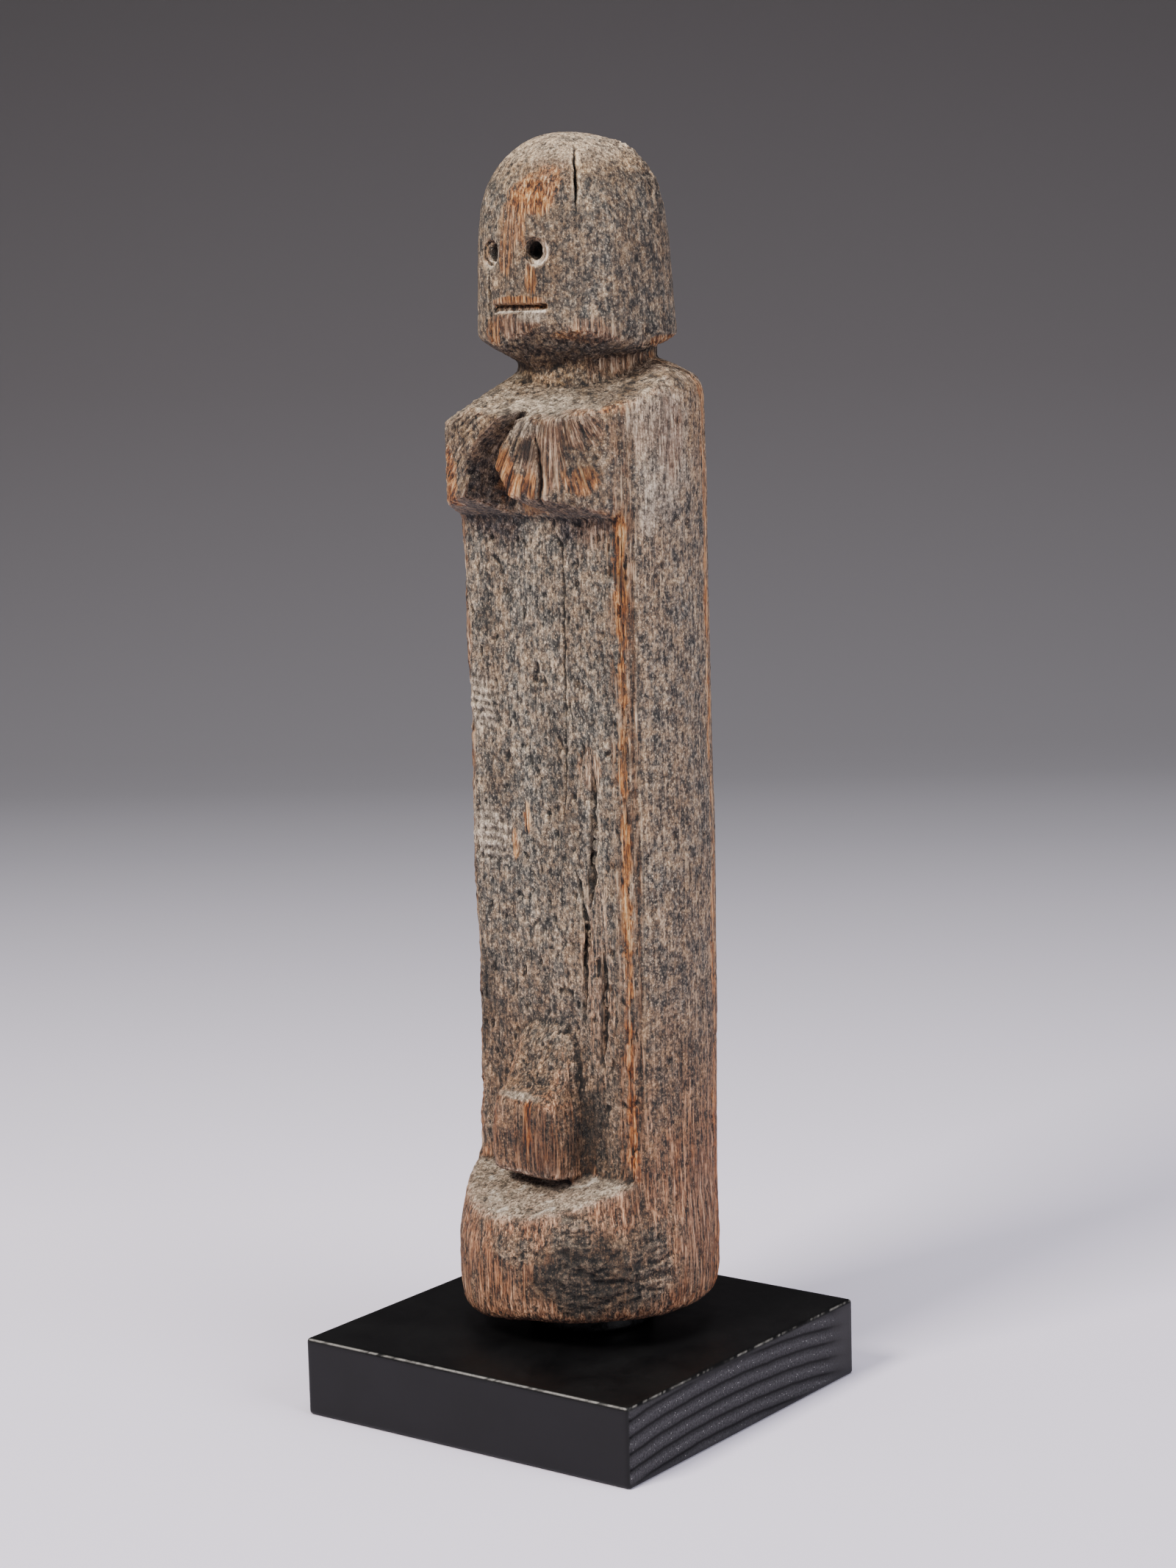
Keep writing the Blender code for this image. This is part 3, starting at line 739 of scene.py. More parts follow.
@dataclass(frozen=True)
class WeatheredWood:
    """Old carved hardwood, oiled, handled and dried: grey granular crust over orange-brown grain.

    The crust is matt with a few glints where it is caked, and speckled like salt and pepper. Its lightest
    crumbs and its crests are painted highlights, and its hollows painted shade. Bare wood shows fine
    upright fibres. The sizes are those of the real grain and crumbs.
    """

    name: str = "weathered_wood"
    fibre_width_mm: float = 0.36
    fibre_length_mm: float = 6.0
    crumb_mm: float = 0.55
    dust_mm: float = 1.0
    hue_mm: float = 1.5
    blotch_mm: float = 3.0
    relief_mm: float = 0.9
    fleck_share: float = 0.45

    # From the darkest to the lightest speck: grey crust, brown crust, dust that also takes the painted
    # highlights, and the two woods under them
    slate: Stops = ((0.30, "#111111"), (0.40, "#333230"), (0.49, "#5f5d57"), (0.58, "#928a7e"),
                    (0.70, "#e0d3c0"))
    buff: Stops = ((0.30, "#17110c"), (0.40, "#443122"), (0.49, "#7d634a"), (0.58, "#b09069"),
                   (0.70, "#ecd2a8"))
    dust_and_highlight: Stops = ((0.30, "#4c4239"), (0.40, "#8b7d6d"), (0.50, "#c2b29d"), (0.61, "#f4e5d0"))
    amber: Stops = ((0.22, "#160b05"), (0.36, "#5d3014"), (0.47, "#b06c31"), (0.58, "#dc9d58"),
                    (0.73, "#f5d29d"))
    brown: Stops = ((0.22, "#14100e"), (0.36, "#412f25"), (0.48, "#745846"), (0.59, "#a08269"),
                    (0.78, "#dac3a8"))

    def build(self) -> bpy.types.Material:
        """Makes the material.

        Returns:
            Material that reads what is painted on the mesh.
        """
        made, add = new_material(self.name)
        mm = object_mm(add)
        read = {mask: add("Attribute", {"attribute_name": mask.value})["Fac"] for mask in Mask}
        relief = add("Attribute", {"attribute_name": RELIEF})["Fac"]
        fan_place = add("Attribute", {"attribute_name": FAN_PLACE})["Vector"]

        # Fibres, upright and again spread as a fan. A noise's blobs are half as wide as its cells
        flat = self.fibre_width_mm / self.fibre_length_mm
        fibres = []
        for source in (mm, fan_place):
            tall = add("Mapping", inputs={"Vector": source, "Scale": (1.0, 1.0, flat)})[0]
            fibres.append(add("TexNoise", inputs={
                "Vector": tall, "Scale": 0.55 / self.fibre_width_mm, "Detail": 3.0, "Roughness": 0.68})[0])
        grain = add("Mix", VALUES, {0: read[Mask.FAN], 2: fibres[0], 3: fibres[1]})[0]

        # Dust, blotches and crumbs, all a quarter taller than wide. Each crumb has a gap round it
        tall = add("Mapping", inputs={"Vector": mm, "Scale": (1.0, 1.0, 0.8)})[0]
        dust, blotch, hue = (
            add("TexNoise", inputs={
                "Vector": tall, "Scale": 1.0 / size, "Detail": detail, "Roughness": rough})[0]
            for size, detail, rough in (
                (self.dust_mm, 4.0, 0.8), (self.blotch_mm, 4.0, 0.7), (self.hue_mm, 5.0, 0.75)))
        grain, dust, blotch = (add("MapRange", inputs={0: value, 1: 0.3, 2: 0.7})[0]
                               for value in (grain, dust, blotch))
        cells = add("TexVoronoi", {"feature": "F1"}, {
            "Vector": tall, "Scale": 1.0 / self.crumb_mm, "Detail": 1.0, "Roughness": 0.6})
        gap = add("MapRange", inputs={0: cells["Distance"], 1: 0.3, 2: 0.75, 3: 1.0, 4: 0.0})[0]

        # Salt and pepper: every crumb has its own tone, swayed by dust, grain and blotches, and by relief
        # as painted light that lightens what stands out
        shades = add("Mix", VALUES, {0: 0.5, 2: cells["Color"], 3: gap})[0]
        lit = add("Mix", VALUES, {0: 0.5, 2: blotch, 3: relief})[0]
        for share, other in ((0.55, dust), (0.2, grain), (0.34, lit)):
            shades = add("Mix", VALUES, {0: share, 2: shades, 3: other})[0]
        wood_shades = add("Mix", VALUES, {0: 0.4, 2: grain, 3: shades})[0]
        slate, buff, dust_and_highlight, amber, brown = (
            add("ValToRGB", inputs={0: source}, stops=stops)[0] for source, stops in (
                (shades, self.slate), (shades, self.buff), (shades, self.dust_and_highlight),
                (wood_shades, self.amber), (wood_shades, self.brown)))

        # The crust leans from slate to buff by its painted share, swayed in small patches
        hue = add("Mix", VALUES, {0: 0.4, 2: hue, 3: blotch})[0]
        hue = add("MapRange", inputs={0: hue, 1: 0.36, 2: 0.64, 3: -0.3, 4: 0.3})[0]
        hue = add("Math", {"operation": "ADD", "use_clamp": True}, {0: read[Mask.WARM], 1: hue})[0]
        crust = add("Mix", COLOURS, {0: hue, 6: slate, 7: buff})[2]

        # Flecks: the lightest crumbs are painted glints, and the darkest crumbs stand out dark
        for first, last, tint in ((0.72, 0.82, "#dccdb4"), (0.30, 0.20, "#15110f")):
            fleck_and_glint = add("MapRange", inputs={0: cells["Color"], 1: first, 2: last, 4: self.fleck_share})[0]
            fleck_and_glint = add("Math", PRODUCT, {0: fleck_and_glint, 1: gap})[0]
            crust = add("Mix", COLOURS, {0: fleck_and_glint, 6: crust, 7: srgb(tint)})[2]
        wood = add("Mix", COLOURS, {0: read[Mask.ORANGE], 6: brown, 7: amber})[2]
        wood, crust = (add("Mix", TINT, {0: read[Mask.RED], 6: base, 7: srgb(red)})[2]
                       for base, red in ((wood, "#ffdfcb"), (crust, "#dcc4b4")))

        # Painted highlight: where the pale share is near full, on the lower lip, the lit eye rims, the
        # foot's rim and the palest peaks, it turns nearly white
        rim = add("MapRange", inputs={0: read[Mask.PALE], 1: 0.85, 2: 1.0})[0]
        dust_and_highlight = add("Mix", COLOURS, {0: rim, 6: dust_and_highlight, 7: srgb("#fbeedd")})[2]

        # The painted share says how much of the crust is gone, and the grain says where
        where = add("Mix", VALUES, {0: 0.35, 2: grain, 3: dust})[0]
        torn = add("Math", {"operation": "ADD"}, {0: read[Mask.BARE], 1: where})[0]
        worn = add("MapRange", {"interpolation_type": "SMOOTHSTEP"}, {0: torn, 1: 0.8, 2: 1.2})[0]

        # Fibres catch the dust. Where nothing is pale, hollows get a painted shade and crests a painted
        # highlight, and the dark share darkens as dirt and painted shade
        caught = add("MapRange", inputs={0: grain, 1: 0.3, 2: 0.6, 3: 0.5})[0]
        not_pale = add("MapRange", inputs={0: read[Mask.PALE], 3: 1.0, 4: 0.0})[0]
        hollow = add("MapRange", inputs={0: relief, 1: 0.42, 2: 0.12, 4: 0.75})[0]
        crest_highlight = add("MapRange", inputs={0: relief, 1: 0.6, 2: 0.95, 4: 0.35})[0]
        dusty, painted_hollow_shade, dirt_and_shade = (add("Math", PRODUCT, {0: one, 1: other})[0] for one, other in (
            (read[Mask.PALE], caught), (hollow, not_pale), (read[Mask.DARK], 0.9)))
        colour = crust
        for share, blend, top in (
                (worn, "MIX", wood), (dusty, "MIX", dust_and_highlight), (painted_hollow_shade, "MULTIPLY", srgb("#3d342e")),
                (crest_highlight, "SCREEN", srgb("#8b7c68")), (dirt_and_shade, "MULTIPLY", srgb("#4f453f"))):
            colour = add("Mix", COLOURS | {"blend_type": blend}, {0: share, 6: colour, 7: top})[2]

        bumps = add("Mix", VALUES, {0: 0.5, 2: gap, 3: dust})[0]
        for share in (0.45, worn):
            bumps = add("Mix", VALUES, {0: share, 2: bumps, 3: grain})[0]
        gloss = add("MapRange", inputs={0: cells["Color"], 1: 0.2, 2: 0.5, 3: 0.3, 4: 0.8})[0]
        add_surface(add, {"Base Color": colour, "Roughness": gloss, "IOR": 1.45}, bumps,
                    relief_mm=self.relief_mm)
        return made


@dataclass(frozen=True)
class BlackPaint:
    """Black satin paint brushed thin on a softwood board: the end grain stands through as dusty bands.

    The rings are cut from a trunk whose pith lies 290 mm under the board. Clouds of dust are 14 mm wide,
    specks half a millimetre, and dots finer still.
    """

    name: str = "black_paint"
    ring_centre_mm: tuple[float, float] = (-10.0, -290.0)
    ring_first_mm: float = 296.8
    ring_spacing_mm: float = 3.57
    wobble_mm: float = 0.5
    cloud_scale: float = 0.07
    speck_mm: float = 0.45
    dot_mm: float = 0.2
    relief_mm: float = 0.05
    rings: Stops = ((0.0, "#000000"), (0.04, "#101010"), (0.16, "#c4c4c4"), (0.55, "#ffffff"),
                    (0.88, "#a0a0a0"), (0.99, "#000000"))
    paint: Stops = ((0.35, "#030304"), (0.65, "#070708"))

    def build(self) -> bpy.types.Material:
        """Makes the material.

        Returns:
            Material with dust, specks, rubbed arrises and the bands of the end grain.
        """
        made, add = new_material(self.name)
        mm = object_mm(add)
        end, rubbed = (add("Attribute", {"attribute_name": name})["Fac"]
                       for name in ("end_grain", "rubbed"))
        grit, cloud = (
            add("TexNoise", inputs={"Vector": mm, "Scale": scale, "Detail": 3.0, "Roughness": rough})[0]
            for scale, rough in ((0.8 / self.speck_mm, 0.75), (self.cloud_scale, 0.6)))
        dots = add("TexVoronoi", {"feature": "F1"}, {"Vector": mm, "Scale": 0.7 / self.dot_mm})

        # Rings of the tree: how far each place lies from the pith, cut into bands with thin dark lines
        middle, level = self.ring_centre_mm
        out = add("VectorMath", {"operation": "SUBTRACT"}, {0: mm, 1: (0.0, middle, level)})[0]
        out = add("VectorMath", PRODUCT, {0: out, 1: (0.0, 1.0, 1.0)})[0]
        away = add("VectorMath", {"operation": "LENGTH"}, {0: out})["Value"]
        sway = add("Math", {"operation": "MULTIPLY_ADD"}, {0: cloud, 1: 2.0 * self.wobble_mm, 2: away})[0]
        turns = add("Math", {"operation": "MULTIPLY_ADD"}, {
            0: sway, 1: 1.0 / self.ring_spacing_mm, 2: -self.ring_first_mm / self.ring_spacing_mm})[0]
        share = add("Math", {"operation": "FRACT"}, {0: turns})[0]
        band = add("ValToRGB", inputs={0: share}, stops=self.rings)[0]
        broken = add("MapRange", inputs={0: grit, 1: 0.34, 2: 0.64, 3: 0.25})[0]
        dust = band
        for share in (end, broken):
            dust = add("Math", PRODUCT, {0: dust, 1: share})[0]

        # Fine white dots: thick on the end grain, sparse elsewhere
        share = add("MapRange", inputs={0: dust, 3: 0.992, 4: 0.72})[0]
        chosen = add("Math", {"operation": "GREATER_THAN"}, {0: dots["Color"], 1: share})[0]
        small = add("MapRange", inputs={0: dots["Distance"], 1: 0.25, 2: 0.4, 3: 1.0, 4: 0.0})[0]
        dot = add("Math", PRODUCT, {0: chosen, 1: small})[0]
        flake = add("MapRange", inputs={0: grit, 1: 0.3, 2: 0.5, 3: 0.35})[0]
        flake = add("Math", PRODUCT, {0: flake, 1: rubbed})[0]
        colour = add("ValToRGB", inputs={0: cloud}, stops=self.paint)[0]
        for share, tint in ((dust, "#504f52"), (dot, "#aaa8a6"), (flake, "#b5b2ad")):
            colour = add("Mix", COLOURS, {0: share, 6: colour, 7: srgb(tint)})[2]
        gloss = add("MapRange", inputs={0: cloud, 1: 0.35, 2: 0.65, 3: 0.4, 4: 0.52})[0]
        gloss = add("Mix", VALUES, {0: dust, 2: gloss, 3: 0.9})[0]
        sheen = add("MapRange", inputs={0: end, 3: 0.26, 4: 0.06})[0]
        add_surface(add, {"Base Color": colour, "Roughness": gloss, "Specular IOR Level": sheen},
                    grit, 0.3, self.relief_mm)
        return made


@dataclass(frozen=True)
class SpacerPaint:
    """Glossier black paint on the turned spacer, dust grains of about a millimetre caught in it."""

    name: str = "spacer_black"
    dust_mm: float = 0.9
    relief_mm: float = 0.05
    stops: Stops = ((0.5, "#0b0b0c"), (0.68, "#1c1c1e"), (0.8, "#4a4a4c"))

    def build(self) -> bpy.types.Material:
        """Makes the material.

        Returns:
            Black material with faint dust.
        """
        made, add = new_material(self.name)
        dust = add("TexNoise", inputs={
            "Vector": object_mm(add), "Scale": 1.0 / self.dust_mm, "Detail": 3.0, "Roughness": 0.7})[0]
        colour = add("ValToRGB", inputs={0: dust}, stops=self.stops)[0]
        gloss = add("MapRange", inputs={0: dust, 1: 0.4, 2: 0.7, 3: 0.25, 4: 0.5})[0]
        add_surface(add, {"Base Color": colour, "Roughness": gloss, "IOR": 1.5}, dust, 0.3, self.relief_mm)
        return made


@dataclass(frozen=True)
class StudioPaper:
    """Matt seamless studio paper, its colour painted from pale on the floor to dark grey up behind the
    figure as a painted falloff of light.
    """

    name: str = "studio_paper"
    reach_m: float = 2.6
    stops: Stops = ((0.0, "#dcd6e8"), (0.06, "#e6e0f1"), (0.17, "#cbc7d5"), (0.30, "#a9a7b1"),
                    (0.42, "#8d8b91"), (0.60, "#6c696c"), (0.85, "#3d393a"))

    def build(self) -> bpy.types.Material:
        """Makes the material.

        Returns:
            Matt material shaded along the paper's length.
        """
        made, add = new_material(self.name)
        along = add("Attribute", {"attribute_name": "along"})["Fac"]
        share = add("Math", {"operation": "DIVIDE"}, {0: along, 1: self.reach_m})[0]
        colour = add("ValToRGB", inputs={0: share}, stops=self.stops)[0]
        add_surface(add, {"Base Color": colour, "Roughness": 0.95})
        return made


def read_vertices(mesh: bpy.types.Mesh, name: str) -> np.ndarray:
    """Reads three numbers of every vertex.

    Args:
        mesh: Mesh to read.
        name: "co" for the places, "normal" for the outward directions.

    Returns:
        One row for each vertex.
    """
    found = np.empty(len(mesh.vertices) * 3, dtype=np.float64)
    mesh.vertices.foreach_get(name, found)
    return found.reshape(-1, 3)


def new_object(name: str, data: bpy.types.ID) -> bpy.types.Object:
    """Makes an object of its data and puts it into the scene, at the origin.

    Args:
        name: Name of the object.
        data: Mesh, lamp or camera.

    Returns:
        The new object.
    """
    made = bpy.data.objects.new(name, data)
    bpy.context.scene.collection.objects.link(made)
    return made


def close_mesh(mesh: bmesh.types.BMesh, name: str) -> bpy.types.Object:
    """Turns modelled geometry into an object of that name, and frees what it was modelled in."""
    data = bpy.data.meshes.new(name)
    mesh.to_mesh(data)
    mesh.free()
    return new_object(name, data)


def write_attribute(mesh: bpy.types.Mesh, name: str, values: np.ndarray) -> None:
    """Stores one number for each vertex under a name that a material reads.

    Args:
        mesh: Mesh that takes it.
        name: Name of the attribute.
        values: One number for each vertex.
    """
    layer = mesh.attributes.new(name=name, type="FLOAT", domain="POINT")
    layer.data.foreach_set("value", np.ascontiguousarray(values, dtype=np.float32))


def copy_of_node(node: str, name: str) -> bpy.types.Object:
    """Copies a solid's mesh into a new object, with its loose triangles joined.

    Args:
        node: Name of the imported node.
        name: Name of the new object.

    Returns:
        The new object, at the origin.
    """
    mesh = bmesh.new()
    mesh.from_mesh(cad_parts[node].data)
    bmesh.ops.remove_doubles(mesh, verts=mesh.verts, dist=0.001 * MM)
    return close_mesh(mesh, name)


def bake_modifiers(item: bpy.types.Object) -> None:
    """Replaces an object's mesh by what its modifiers make of it, and removes them.

    Args:
        item: The object.
    """
    graph = bpy.context.evaluated_depsgraph_get()
    baked = bpy.data.meshes.new_from_object(item.evaluated_get(graph), preserve_all_data_layers=True,
                                            depsgraph=graph)
    old = item.data
    item.modifiers.clear()
    item.data = baked
    bpy.data.meshes.remove(old)


def neighbour_mean(points: np.ndarray, edges: np.ndarray, rounds: int) -> np.ndarray:
    """Draws each point half way to the mean of its neighbours, several times over.

    Args:
        points: Places of the mesh's vertices.
        edges: Pairs of vertex numbers.
        rounds: How many times.

    Returns:
        The smoothed places.
    """
    first, second = edges[:, 0], edges[:, 1]
    count = len(points)
    degree = np.maximum(np.bincount(edges.ravel(), minlength=count), 1)[:, None]
    for _ in range(rounds):
        total = np.stack([np.bincount(first, points[second, axis], count)
                          + np.bincount(second, points[first, axis], count) for axis in range(3)], axis=1)
        points = 0.5 * points + 0.5 * total / degree
    return points


@dataclass
class CarvedFigure:
    """The figure in one piece: the solid's form, its worn surface and its finish."""

    node: str = "figure"
    piece: str = "carved_figure"
    voxel_mm: float = 0.4
    softening: int = 5
    edge_rounds: int = 24
    edge_stand_mm: float = 0.22
    relief_rounds: int = 6
    relief_stand_mm: float = 0.16
    most_triangles: int = 198000
    carving: Carving = field(default_factory=Carving)
    finish: WeatheredWood = field(default_factory=WeatheredWood)

    def turned(self) -> np.ndarray:
        """Turn from the figure's own frame to the frame of the part."""
        return np.array(Matrix.Rotation(FIGURE_TURN, 3, "Z"))

    def own_frame(self, mesh: bpy.types.Mesh) -> tuple[np.ndarray, np.ndarray]:
        """Reads a mesh's points and normals.

        Args:
            mesh: Mesh in metres in the frame of the part.

        Returns:
            Points in millimetres and normals, both in the figure's own frame.
        """
        points = (read_vertices(mesh, "co") / MM - np.array(FIGURE_ORIGIN)) @ self.turned()
        return points, read_vertices(mesh, "normal") @ self.turned()

    def place(self, mesh: bpy.types.Mesh, points: np.ndarray) -> None:
        """Moves a mesh's vertices to places given in the figure's own frame."""
        places = (points @ self.turned().T + np.array(FIGURE_ORIGIN)) * MM
        mesh.vertices.foreach_set("co", places.ravel())
        mesh.update()

    def stand_out(self, mesh: bpy.types.Mesh, rounds: int, full_mm: float) -> np.ndarray:
        """How far each vertex stands out of its surroundings.

        Args:
            mesh: Mesh to read.
            rounds: How widely the surroundings are taken.
            full_mm: Distance that counts as 1.

        Returns:
            Shares from -1 in a hollow to 1 on an arris.
        """
        points, normals = self.own_frame(mesh)
        edges = np.empty(len(mesh.edges) * 2, dtype=np.int32)
        mesh.edges.foreach_get("vertices", edges)
        smooth = neighbour_mean(points, edges.reshape(-1, 2), rounds)
        return np.clip(np.einsum("ij,ij->i", points - smooth, normals) / full_mm, -1.0, 1.0)

    def remesh(self, item: bpy.types.Object) -> None:
        """Gives the form an even skin of small faces, and softens its arrises.

        Args:
            item: The figure's copied solid.
        """
        skin = item.modifiers.new("skin", "REMESH")
        skin.mode = "VOXEL"
        skin.voxel_size = self.voxel_mm * MM
        bake_modifiers(item)
        points, _ = self.own_frame(item.data)
        group = item.vertex_groups.new(name="soft")
        group.add(np.flatnonzero(self.carving.smooth_places(points)).tolist(), 1.0, "REPLACE")
        soften = item.modifiers.new("soften", "SMOOTH")
        soften.factor = 0.5
        soften.iterations = self.softening
        soften.vertex_group = group.name
        bake_modifiers(item)
        item.vertex_groups.clear()

    def wear(self, item: bpy.types.Object) -> None:
        """Moves the skin by the carving's wear, and notes how far each place now stands out.

        Args:
            item: The figure with its even skin.
        """
        points, normals = self.own_frame(item.data)
        convex = self.stand_out(item.data, self.edge_rounds, self.edge_stand_mm)
        move = self.carving.height(points, convex)
        points += normals * move[:, None]
        points[:, 2] -= self.carving.settle(points)
        self.place(item.data, points)
        write_attribute(item.data, "convex", convex)
        relief = self.stand_out(item.data, self.relief_rounds, self.relief_stand_mm)
        write_attribute(item.data, RELIEF, 0.5 + 0.5 * relief)

    def thin(self, item: bpy.types.Object) -> None:
        """Takes out triangles where the surface is smooth, down to the most allowed.

        Args:
            item: The worn figure.
        """
        item.data.calc_loop_triangles()
        count = len(item.data.loop_triangles)
        if count > self.most_triangles:
            points, _ = self.own_frame(item.data)
            group = item.vertex_groups.new(name="coarse")
            group.add(np.flatnonzero(~self.carving.fine_places(points)).tolist(), 1.0, "REPLACE")
            fewer = item.modifiers.new("thin", "DECIMATE")
            fewer.ratio = self.most_triangles / count
            fewer.vertex_group = group.name
            bake_modifiers(item)
            item.vertex_groups.clear()

    def build(self) -> bpy.types.Object:
        """Builds, paints and registers the figure.

        Returns:
            The finished piece.
        """
        item = copy_of_node(self.node, self.piece)
        self.remesh(item)
        self.wear(item)
        self.thin(item)
        mesh = item.data
        points, normals = self.own_frame(mesh)
        convex = np.empty(len(points), dtype=np.float32)
        mesh.attributes["convex"].data.foreach_get("value", convex)
        mesh.attributes.remove(mesh.attributes["convex"])
        for mask, values in self.carving.masks(points, normals, convex).items():
            write_attribute(mesh, mask.value, values)
        fan = mesh.attributes.new(name=FAN_PLACE, type="FLOAT_VECTOR", domain="POINT")
        fan.data.foreach_set("vector", self.carving.fan_places(points).astype(np.float32).ravel())
        mesh.shade_smooth()
        mesh.materials.clear()
        mesh.materials.append(self.finish.build())
        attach(item, "root")
        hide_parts(self.node)
        return item


@dataclass
class PlinthBoard:
    """The square board: soft rubbed arrises, end grain on two opposite faces, and small chips."""

    node: str = "plinth"
    piece: str = "plinth_board"
    arris_mm: float = 0.9
    face_step_mm: float = 0.75
    fade_mm: tuple[float, float] = (1.5, 4.5)
    chips: tuple[tuple[tuple[float, float, float], float], ...] = (
        ((-12.0, -45.0, 20.0), 1.1), ((31.0, -45.0, 20.0), 0.7), ((45.0, 12.0, 20.0), 0.8))
    noise_seed: int = 7
    finish: BlackPaint = field(default_factory=BlackPaint)

    def board(self) -> bpy.types.Object:
        """Models the board from the solid's own box, divided finely enough for its relief.

        Returns:
            The board, at the origin.
        """
        low, high = (Vector(corner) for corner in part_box(self.node))
        size = high - low
        mesh = bmesh.new()
        bmesh.ops.create_cube(mesh, size=1.0)
        bmesh.ops.scale(mesh, vec=size, verts=mesh.verts)
        bmesh.ops.translate(mesh, vec=(low + high) / 2.0, verts=mesh.verts)
        arris = self.arris_mm * MM
        bmesh.ops.bevel(mesh, geom=mesh.edges[:], offset=arris, offset_type="OFFSET", segments=4,
                        profile=0.5, affect="EDGES", material=-1)
        for axis, direction in enumerate(Vector(row) for row in np.eye(3)):
            count = int((size[axis] / MM - 2.0 * self.arris_mm) / self.face_step_mm)
            for cut in range(1, count):
                place = low + direction * (arris + cut * (size[axis] - 2.0 * arris) / count)
                everything = mesh.verts[:] + mesh.edges[:] + mesh.faces[:]
                bmesh.ops.bisect_plane(mesh, geom=everything, dist=1e-7, plane_co=place, plane_no=direction)
        return close_mesh(mesh, self.piece)

    def build(self) -> bpy.types.Object:
        """Builds, paints and registers the board.

        Returns:
            The finished piece.
        """
        item = self.board()
        mesh = item.data
        points, normals = read_vertices(mesh, "co") / MM, read_vertices(mesh, "normal")
        ragged = LatticeNoise(self.noise_seed).layered(points, (2.0, 2.0, 2.0), 3, 0.7)
        low, high = points.min(axis=0), points.max(axis=0)
        near, far = self.fade_mm
        height = np.minimum(points[:, 2] - low[2], high[2] - points[:, 2])
        end = smoothstep(0.7, 0.95, np.abs(normals[:, 0])) * smoothstep(0.3, near, height + 0.4 * ragged)
        end = end * smoothstep(0.5, 3.0 * far, high[1] - points[:, 1] + 2.0 * ragged)
        front = normals @ np.array((0.0, -1.0, 1.0)) / math.sqrt(2.0)
        right = normals @ np.array((1.0, 0.0, 1.0)) / math.sqrt(2.0)
        rubbed = 0.5 * smoothstep(0.975, 1.0, front) * smoothstep(-0.5, 0.1, ragged)
        rubbed = np.maximum(rubbed, 0.3 * smoothstep(0.975, 1.0, right) * smoothstep(-0.1, 0.3, ragged))
        depth = np.zeros(len(points))
        for centre, reach in self.chips:
            away = np.linalg.norm((points - np.array(centre)) / reach, axis=1)
            notch = smoothstep(1.2, 0.4, away + 0.35 * ragged)
            depth = np.maximum(depth, 0.4 * notch)
            rubbed = np.maximum(rubbed, 0.9 * notch)
        points -= normals * depth[:, None]
        mesh.vertices.foreach_set("co", (points * MM).ravel())
        mesh.update()
        write_attribute(mesh, "end_grain", end)
        write_attribute(mesh, "rubbed", rubbed)
        mesh.shade_smooth()
        mesh.materials.append(self.finish.build())
        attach(item, "root")
        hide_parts(self.node)
        return item


@dataclass
class RoundSpacer:
    """The low turned spacer under the foot, its rims eased."""

    node: str = "spacer"
    piece: str = "round_spacer"
    sides: int = 96
    rim_mm: float = 0.8
    finish: SpacerPaint = field(default_factory=SpacerPaint)

    def build(self) -> bpy.types.Object:
        """Builds, paints and registers the spacer.

        Returns:
            The finished piece.
        """
        low, high = (Vector(corner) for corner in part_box(self.node))
        radius = (high.x - low.x) / 2.0
        mesh = bmesh.new()
        bmesh.ops.create_cone(mesh, cap_ends=True, segments=self.sides, radius1=radius, radius2=radius,
                              depth=high.z - low.z)
        bmesh.ops.translate(mesh, vec=(low + high) / 2.0, verts=mesh.verts)
        rims = [edge for edge in mesh.edges
                if max(len(face.verts) for face in edge.link_faces) == self.sides]
        bmesh.ops.bevel(mesh, geom=rims, offset=self.rim_mm * MM, segments=4, profile=0.5, affect="EDGES",
                        material=-1)
        item = close_mesh(mesh, self.piece)
        item.data.shade_smooth()
        item.data.set_sharp_from_angle(angle=math.radians(50.0))
        item.data.materials.append(self.finish.build())
        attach(item, "root")
        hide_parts(self.node)
        return item


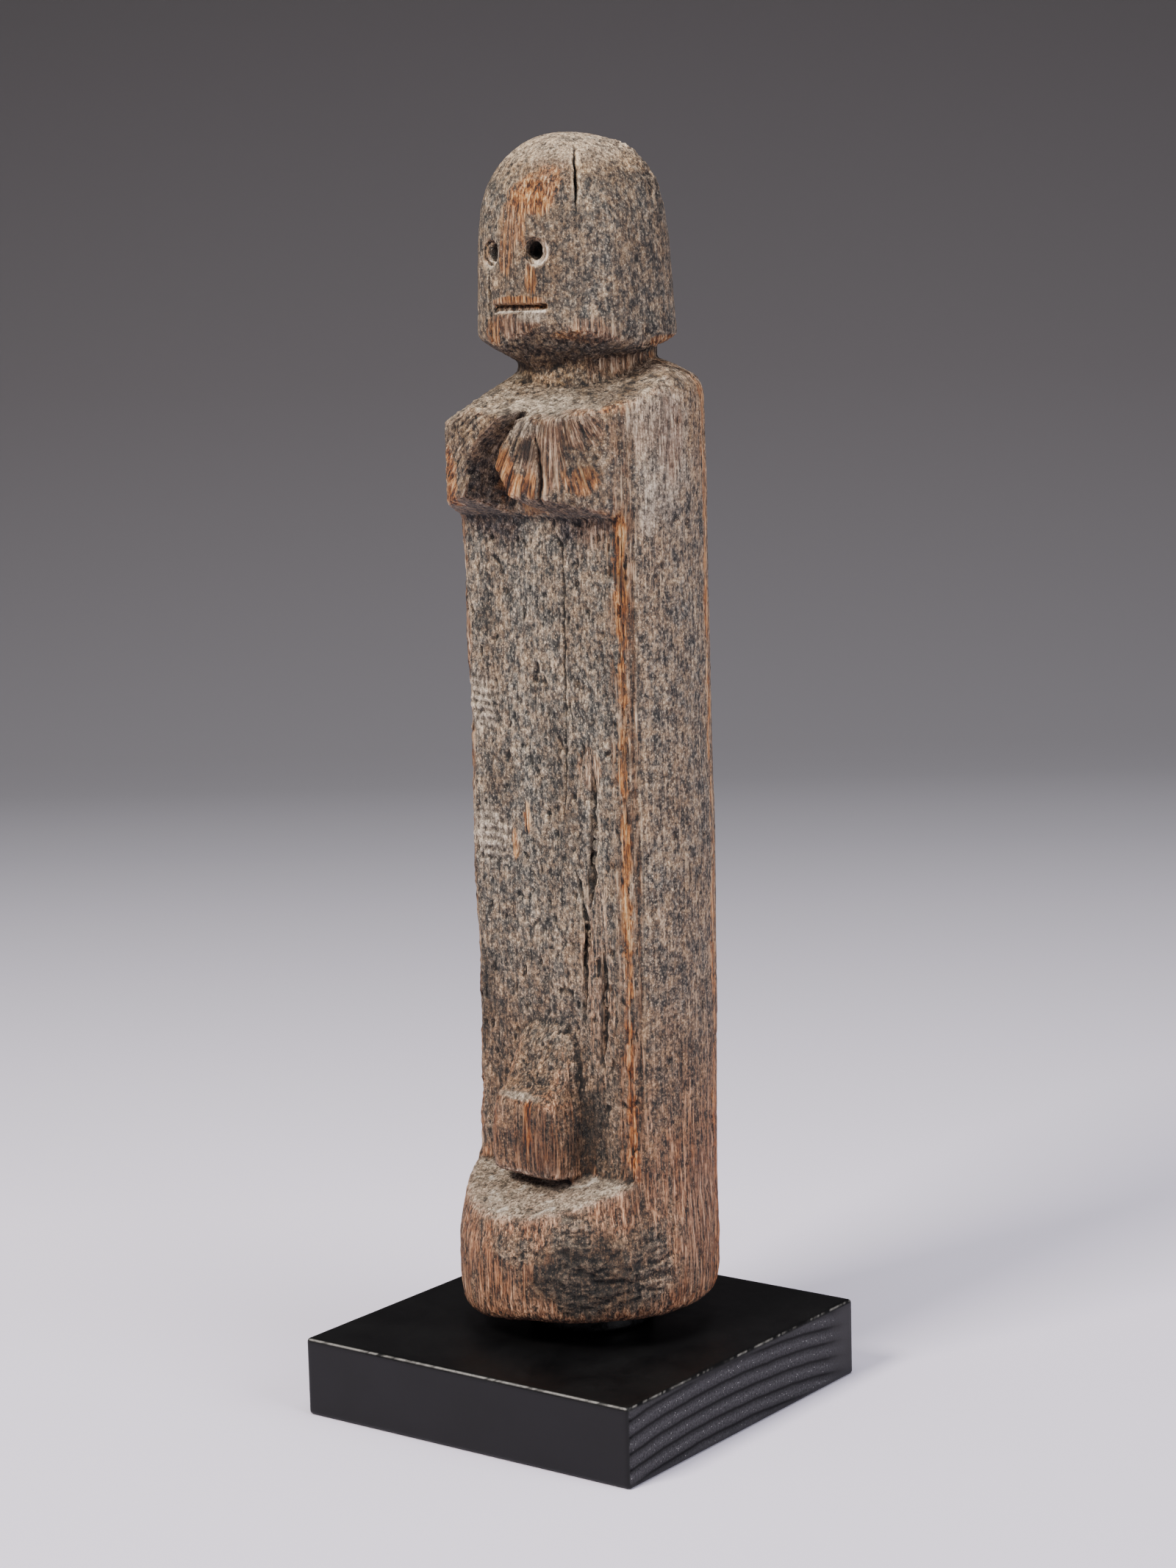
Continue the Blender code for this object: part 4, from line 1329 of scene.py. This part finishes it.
@dataclass
class Studio:
    """Pale seamless paper that curves up behind, a soft key from upper left, a fill, and the camera."""

    eye_mm: tuple[float, float, float] = (422.495, -564.255, 242.947)
    turn_deg: float = 36.47
    drop_deg: float = 8.15
    roll_deg: float = -1.46
    focal_px: float = 4315.14
    frame_px: tuple[int, int] = (1600, 2133)
    sensor_mm: float = 36.0
    floor_half_m: float = 1.6
    wall_back_m: float = 1.0
    curve_radius_m: float = 0.7
    wall_height_m: float = 2.2
    curve_steps: int = 24
    aim_height_m: float = 0.15
    paper: StudioPaper = field(default_factory=StudioPaper)

    def toward(self, turn: float, lift: float) -> Vector:
        """Unit vector outwards from the figure, its turn and lift in radians."""
        return Vector((math.sin(turn) * math.cos(lift), -math.cos(turn) * math.cos(lift), math.sin(lift)))

    def axes(self) -> tuple[Vector, Vector, Vector]:
        """The camera's right, up and backward directions.

        Returns:
            Three unit vectors.
        """
        turn, drop, roll = (math.radians(value) for value in (self.turn_deg, self.drop_deg, self.roll_deg))
        back = self.toward(turn, drop)
        level = Vector((math.cos(turn), math.sin(turn), 0.0))
        rise = back.cross(level)
        right = level * math.cos(roll) + rise * math.sin(roll)
        return right, back.cross(right), back

    def camera(self) -> None:
        """Places the camera where the photograph was taken from."""
        right, rise, back = self.axes()
        data = bpy.data.cameras.new("camera")
        data.sensor_width = self.sensor_mm
        data.lens = self.focal_px / max(self.frame_px) * self.sensor_mm
        data.clip_start = 0.01
        made = new_object("camera", data)
        turned = Matrix((right, rise, back)).transposed().to_4x4()
        turned.translation = Vector(self.eye_mm) * MM
        made.matrix_world = turned
        bpy.context.scene.camera = made

    def sweep(self) -> None:
        """Lays the floor and curves it up into the backdrop, square to the camera."""
        mesh = bmesh.new()
        profile = [(-self.floor_half_m, 0.0), (self.wall_back_m, 0.0)]
        for step in range(1, self.curve_steps + 1):
            turn = math.pi / 2.0 * step / self.curve_steps
            profile.append((self.wall_back_m + self.curve_radius_m * math.sin(turn),
                            self.curve_radius_m * (1.0 - math.cos(turn))))
        profile.append((self.wall_back_m + self.curve_radius_m, self.wall_height_m))
        verts = [mesh.verts.new((-self.floor_half_m * 1.6, y, z)) for y, z in profile]
        edges = [mesh.edges.new(pair) for pair in zip(verts, verts[1:])]
        made = bmesh.ops.extrude_edge_only(mesh, edges=edges)
        moved = [item for item in made["geom"] if isinstance(item, bmesh.types.BMVert)]
        bmesh.ops.translate(mesh, vec=(self.floor_half_m * 3.2, 0.0, 0.0), verts=moved)
        turned = Matrix.Rotation(math.radians(self.turn_deg), 4, "Z")
        bmesh.ops.transform(mesh, matrix=turned, verts=mesh.verts)
        bmesh.ops.recalc_face_normals(mesh, faces=mesh.faces)
        item = close_mesh(mesh, "studio_sweep")
        points = read_vertices(item.data, "co") @ np.array(turned.to_3x3())
        parts = [math.dist(*pair) for pair in zip(profile, profile[1:])]
        lengths = np.cumsum([0.0] + parts) - self.floor_half_m
        nearest = [int(np.argmin([math.dist(point[1:], place) for place in profile])) for point in points]
        write_attribute(item.data, "along", lengths[nearest])
        item.data.shade_smooth()
        item.data.materials.append(self.paper.build())

    def lamp(self, name: str, turn_deg: float, lift_deg: float, away_m: float, size_m: float,
             watts: float, colour: str) -> None:
        """Hangs one soft square lamp that looks at the figure's middle.

        Args:
            name: Name of the lamp.
            turn_deg: Turn from the camera's direction, to the right as the camera sees it.
            lift_deg: Height above level.
            away_m: Distance from the figure.
            size_m: Side of the lamp.
            watts: Its power.
            colour: Its colour as sRGB hex.
        """
        turn, lift = math.radians(self.turn_deg + turn_deg), math.radians(lift_deg)
        toward = self.toward(turn, lift)
        data = bpy.data.lights.new(name, "AREA")
        data.shape = "SQUARE"
        data.size = size_m
        data.energy = watts
        data.color = srgb(colour)[:3]
        made = new_object(name, data)
        made.location = Vector((0.0, 0.0, self.aim_height_m)) + toward * away_m
        made.rotation_euler = toward.to_track_quat("Z", "Y").to_euler()

    def build(self) -> None:
        """Builds the sweep, the lamps, the dim surroundings and the camera."""
        self.camera()
        self.sweep()
        self.lamp("key", -46.0, 42.0, 1.1, 0.3, 20.0, "#fff8ef")
        self.lamp("fill", 52.0, 24.0, 1.3, 0.8, 13.0, "#fbfaff")
        self.lamp("top", 10.0, 84.0, 1.2, 0.7, 13.0, "#ffffff")
        world = bpy.data.worlds.new("surroundings")
        world.use_nodes = True
        sky = world.node_tree.nodes["Background"]
        sky.inputs["Color"].default_value = srgb("#a9a8ae")
        sky.inputs["Strength"].default_value = 0.36
        bpy.context.scene.world = world


def main() -> None:
    """Builds the pieces in order and reports each one."""
    logging.basicConfig(level=logging.INFO, format="%(message)s")
    Studio().build()
    for maker in (PlinthBoard(), RoundSpacer(), CarvedFigure()):
        item = maker.build()
        LOG.info("%s: %d faces", item.name, len(item.data.polygons))


if __name__ == "__main__":
    main()
